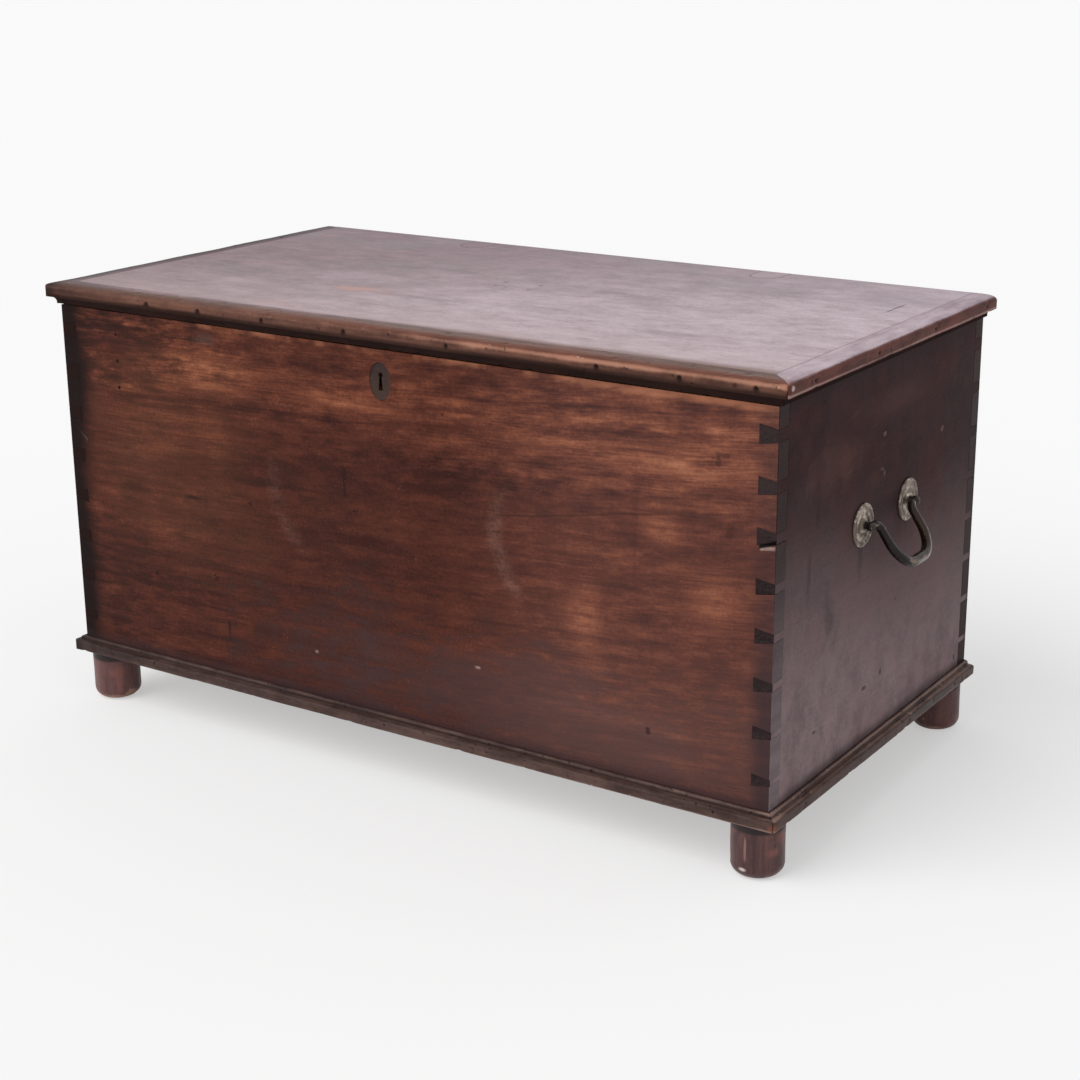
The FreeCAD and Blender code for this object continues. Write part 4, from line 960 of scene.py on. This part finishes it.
for name, front_row, end_row, y_out, x_out, up, body, seed in (
        ("lid_moulding_nails", LID_NAILS, END_NAILS, 275.4, 516, 539.5, "lid", 5),
        ("base_moulding_nails", BASE_NAILS, BASE_END_NAILS, 275.9, 513.5, 74, "case", 6)):
    lots = [([(x, -y_out, up) for x in front_row], (0, -1, 0))]
    lots += [([(way * x_out, y, up) for y in end_row], (way, 0, 0)) for way in (1, -1)]
    heads(name, lots, body, seed)

# %% [markdown]
# ## Feet
# The feet are turned barrels, each held by a round tenon in the corner. They stand on floors and get
# kicked, so each is a little out of round, its bottom edge is bruised and its colour is rubbed.
# Turning in the modifier stack would give four the same, so each is turned here with its own seed.

# %% Foot finish
foot = wood("foot finish")
around_grain = foot.stretched_noise((95, 95, 9), detail=3)
fine = foot.stretched_noise((520, 520, 60), detail=2)
tone = 0.5 + 1.1 * around_grain + 0.4 * fine + 0.7 * foot.cloud + 0.3 * foot.speck
foot.colour = foot.tint(tone, 0.1, 0.9, (64, 42, 42), (112, 77, 74))
glow = foot.ease(foot.noise(foot.place, 26, detail=2), 0.02, 0.2)
foot.lay(0.5 * glow, (140, 84, 74))
scuff = foot.ease(foot.mark("wear") + 1.4 * foot.cloud + 0.8 * foot.speck, 0.5, 0.9)
foot.lay(0.6 * scuff, (176, 138, 120))


def on_feet(x, y, z, half, soft=0.8):
    return spot(foot, (x, y, z), half, 1.6 * foot.cloud, soft)


ruddy = on_feet(500, -251, 33, (10, 10, 7), 0.9) + 0.6 * on_feet(-453, -258, 22, (3, 3, 3))
foot.lay(0.5 * ruddy, (146, 90, 80))
foot.lay(0.4 * on_feet(475, -267.4, 36, (1.5, 6, 14), 0.5), (176, 134, 124))
foot.lay(0.75 * on_feet(472, -266, 12, (5, 7, 2.4), 0.95), (224, 208, 208))
# Painted shadow: the top of each foot, just under the moulding, is painted dark.
shade_under_moulding = foot.ease(foot.z + 0.004 * foot.cloud, 0.0525, 0.0565)
foot.lay(0.88 * shade_under_moulding, (30, 24, 25))
height = 0.3 * around_grain + 0.1 * fine + 0.3 * foot.speck - 0.2 * scuff
foot_finish = foot.finish(0.42 + 0.3 * foot.cloud + 0.25 * scuff, height, specular=0.25)


# %% Feet
def turned_foot(name, x, y, seed):
    """A barrel from its tenon down: the profile is pushed in by hills over its own surface, more near
    the floor, and by dents along the bottom edge."""
    profile = softened(np.concatenate([
        run((0.6, 78), (10, 78), gaps=4), run((10, 78), (10, 66), gaps=5), run((10, 66), (29.4, 66), gaps=8),
        run((29.4, 66), (30, 64), gaps=2), run((30, 64), (30, 13), gaps=26),
        quarter((30, 13), (30, 0), (17, 0), gaps=16), run((17, 0), (0.6, 0), gaps=6)]))
    profile[0], profile[-1] = (0.6, 78), (0.6, 0)
    shape = turned(profile, 72)
    radius, height = profile[:, :1], profile[:, 1:]
    a, b = shape[..., 0] + 0.31 * height, shape[..., 1] + 0.77 * height
    rng = np.random.default_rng(seed)
    angle = rng.uniform(0, 2 * math.pi, 9)
    bruises = np.stack([27 * np.cos(angle), 27 * np.sin(angle), rng.uniform(2, 16, 9)], axis=-1)
    away = np.linalg.norm(shape[None] - bruises[:, None, None, :], axis=-1)
    bruise = np.exp(-(away / rng.uniform(3, 6, (9, 1, 1))) ** 2).max(axis=0)
    body = np.clip((radius - 12) / 8, 0, 1) * np.clip((65 - height) / 3, 0, 1)
    push = body * (0.35 + 0.3 * hills(a, b, 22, 22, seed) + 0.08 * hills(a, b, 5, 5, seed + 1) + 1.1 * bruise)
    shape[..., :2] *= (1 - push / np.maximum(radius, 1))[..., None]
    wear = np.clip(bruise + np.exp(-((height - 4) / 5) ** 2) * body * 0.7, 0, 1)
    shape += (x, y, 0)
    skin(name + "_turned", shape * MM, foot_finish, "case", [name], marks={"wear": wear})


for number, (row, x, y) in enumerate((("front_left", -475, FRONT + 25), ("front_right", 475, FRONT + 25),
                                      ("back_left", -475, BACK - 25), ("back_right", 475, BACK - 25))):
    turned_foot("foot_" + row, x, y, 60 + 3 * number)

# %% [markdown]
# ## Keyhole plate
# A thin oval plate is let into the front over the lock. Its rim stands a hair above its field, and
# the keyhole is a round with a widening slot. The plate is a loop of sections: each section goes
# from the keyhole's edge out to the oval and back underneath, and the sections go round the plate.

# %% Keyhole plate
half = np.concatenate([
    np.stack([3 * np.sin(t := np.linspace(0, 2.618, 26)), 7 + 3 * np.cos(t)], axis=-1),
    run((1.5, 4.4), (2.9, -9.6), gaps=20)[1:], quarter((2.9, -9.6), (3, -11), (1.6, -11), gaps=6),
    run((1.6, -11), (0, -11), gaps=5)])
keyhole = np.concatenate([half, (half * (-1, 1))[::-1][:-1]])
angle = np.linspace(0, 2 * math.pi, len(keyhole), endpoint=False)
oval = np.stack([14.75 * np.sin(angle), 22 * np.cos(angle)], axis=-1)
share = np.array([0, 0, 0.03, 0.08, 0.25, 0.45, 0.65, 0.80, 0.86, 0.90, 0.95, 0.985, 1, 1, 0.5])
depth = np.array([1.5, 0.6, 0.46, 0.42, 0.40, 0.36, 0.40, 0.46, 0.42, 0.12, 0.0, 0.10, 0.5, 1.5, 1.5])
flat = keyhole[:, None] + (oval - keyhole)[:, None] * share[:, None]
worn = 0.10 * hills(flat[..., 0], flat[..., 1], 6, 6, 77) + 0.10
let_in = depth > 1.2
depth = np.where(let_in, depth, depth + worn)
plate = np.stack([flat[..., 0], FRONT + 0.5 + depth, KEYHOLE_HEIGHT + flat[..., 1]], axis=-1)
skin("escutcheon_plate", plate * MM, plate_finish, "case", ["escutcheon"], loop=True)

# %% [markdown]
# ## Roses and handles
# Each handle is a swelled iron bail that hangs in two eyes. Each eye stands on a cast rose with a
# raised rim, a ring and a boss, and faint leaves between them. A rose is a loop of sections about
# its post, with the leaves as a small ripple in its height.

# %% Roses
EYE_OFFSET = 59.5
section = softened(np.concatenate([
    run((4.1, 0), (25, 0), gaps=8), run((25, 0), (25, 1.6), gaps=3),
    quarter((25, 1.6), (25, 3.1), (23.2, 3.1), gaps=5),
    quarter((22.4, 3.1), (20.8, 3.1), (20.8, 1.8), gaps=5),
    run((20.6, 1.8), (18, 1.8), gaps=5), quarter((18, 1.8), (17.6, 3.1), (15, 3.1), gaps=6),
    quarter((15, 3.1), (12.4, 3.1), (12, 1.8), gaps=6), run((11.8, 1.8), (8.8, 1.8), gaps=4),
    quarter((8.5, 2.0), (8.5, 4.5), (5.5, 4.5), gaps=6), run((5.5, 4.5), (4.1, 4.5), gaps=3),
    run((4.1, 4.5), (4.1, 0), gaps=4)]))
swing = np.linspace(0, 2 * math.pi, 96, endpoint=False)[:, None]
radius, height = np.broadcast_to(section[:, 0], (96, len(section))), section[:, 1]
leaves = np.exp(-((radius - 19.4) / 1.5) ** 2) + 0.8 * np.exp(-((radius - 10.4) / 1.4) ** 2)
notches = (radius > 20.5) * np.cos(7 * swing) ** 8
uneven = hills(radius * np.cos(swing), radius * np.sin(swing), 4, 4, 91)
lift = (height > 1.3) * (0.45 * leaves * np.cos(14 * swing) ** 2 - 0.25 * notches - 0.12 - 0.12 * uneven)
rose = np.stack([height + lift, radius * np.cos(swing), radius * np.sin(swing)], axis=-1)
for name, way in (("right_handle_roses", 1), ("left_handle_roses", -1)):
    pair = np.stack([rose * (way, 1, 1) + (way * HALF_WIDTH, MIDDLE + offset, HANDLE_HEIGHT)
                     for offset in (-EYE_OFFSET, EYE_OFFSET)])
    skin(name + "_cast", pair * MM, rose_finish, "case", [name], loop=True)

# %% [markdown]
# The bail is a round section carried along a bent line. The line is flat, so the frame at each
# station is simple: one way along the line, one across it in its plane and one square to the plane.
# The bar swells to the middle of the grip and shows slight flats from the hammer. A painted highlight
# runs along its outer, upper side, as the reflection of the bright room.

# %% Bails
half = np.concatenate([
    run((EYE_OFFSET + 5.2, 0), (51.5, 0), gaps=14), quarter((51.5, 0), (42.5, 0), (42.5, -9), gaps=16),
    run((42.5, -9), (42.5, -24), gaps=8), quarter((42.5, -24), (42.5, -57), (9.5, -57), gaps=36),
    run((9.5, -57), (0, -57), gaps=8)])
path = np.concatenate([half, [(0, -57)], (half * (-1, 1))[::-1]])
length = np.concatenate([[0], np.cumsum(np.linalg.norm(np.diff(path, axis=0), axis=1))])
middle = length[-1] / 2
thick = np.interp(np.abs(length - middle), [0, 18, 45, 72, 88.5, 92, middle],
                  [6.3, 6.2, 5.6, 4.95, 4.8, 3.4, 3.4])
ahead_of = np.gradient(path, axis=0)
ahead_of /= np.linalg.norm(ahead_of, axis=1, keepdims=True)
across = np.stack([-ahead_of[:, 1], ahead_of[:, 0]], axis=-1)
swing = np.linspace(0, 2 * math.pi, 32, endpoint=False)
along, around = np.broadcast_arrays(length[:, None], 5 * np.cos(swing))
blows = (1 + hills(along, around, 9, 3, 55)) / 2
bar = thick[:, None] * (1 - 0.025 * blows * np.clip((thick - 3.5) / 2, 0, 1)[:, None])
flat_y = path[:, :1] + bar * np.cos(swing) * across[:, :1]
flat_z = path[:, 1:] + bar * np.cos(swing) * across[:, 1:]
stand = bar * np.sin(swing)
lean = math.radians(35)
facing = (across[:, :1] * np.cos(swing), across[:, 1:] * np.cos(swing), np.sin(swing))
outwards = facing[2] * math.cos(lean) - facing[1] * math.sin(lean)
# Painted highlight: bright where the bar's surface faces out and up, towards the bright room.
painted_highlight = np.clip(0.96 * outwards + 0.26 * facing[0], 0, 1) ** 4
for name, way in (("right_handle_bail", 1), ("left_handle_bail", -1)):
    grid = np.stack([way * (HALF_WIDTH + 10.5 - flat_z * math.sin(lean) + stand * math.cos(lean)),
                     MIDDLE + flat_y,
                     HANDLE_HEIGHT + flat_z * math.cos(lean) + stand * math.sin(lean)], axis=-1)
    skin(name + "_forged", grid * MM, bail_finish, name.replace("_handle", ""), [name],
         marks={"wear": painted_highlight})

# %% [markdown]
# ## The boards
# The boards keep their own meshes. Old boards have no knife edges, so each gets a weld, which joins
# its loose triangles, and a narrow bevel. The bevel also draws a fine line round each dovetail and
# patch, as the real joints show. Its overlap guard is off, because the small triangles along a joint
# would hold the bevel to nothing.

# %% Finishes on the boards
finishes = {"front_wood": front_finish, "end_wood": end_finish, "lid_wood": lid_finish,
            "patch_wood": patch_finish, "inner_wood": inner_finish, "iron": iron_finish,
            "rose_metal": rose_finish, "foot_wood": foot_finish, "moulding_wood": base_strip_finish,
            "escutcheon_metal": plate_finish}
slots = {name: node.material_slots[0].material.name.split(".")[0] for name, node in nodes.items()}
for name, node in nodes.items():
    node.material_slots[0].material = nail_finish if name.endswith("nails") else finishes[slots[name]]


WELD, SHORTEST, EASING = 0.02 * MM, 2.2 * MM, 0.6 * MM


def eased(name, body):
    """A copy of a board with its long sharp edges marked for a narrow bevel."""
    shape = bmesh.new()
    shape.from_mesh(nodes[name].data)
    bmesh.ops.remove_doubles(shape, verts=shape.verts, dist=WELD)
    bmesh.ops.dissolve_limit(shape, angle_limit=math.radians(0.4), verts=shape.verts, edges=shape.edges)
    weight = shape.edges.layers.float.new("bevel_weight_edge")
    marked = [e for e in shape.edges if e.calc_length() > SHORTEST and len(e.link_faces) == 2
              and e.calc_face_angle() > math.radians(35)]
    for line_edge in marked:
        line_edge[weight] = 1.0
    for face in shape.faces:
        face.smooth = False
    mesh = bpy.data.meshes.new(name)
    shape.to_mesh(mesh)
    shape.free()
    piece = put_in(name + "_eased", mesh, finishes[slots[name]], body, [name])
    edge = piece.modifiers.new("edge", "BEVEL")
    edge.width, edge.segments, edge.limit_method = EASING, 2, "WEIGHT"
    edge.use_clamp_overlap = False
    print(name, "edges eased", len(marked), "of", len(mesh.edges))


for name in ("front_board", "back_board", "left_end_board", "right_end_board"):
    eased(name, "case")
for name in ("lid_board", "lid_hinge_patches"):
    eased(name, "lid")
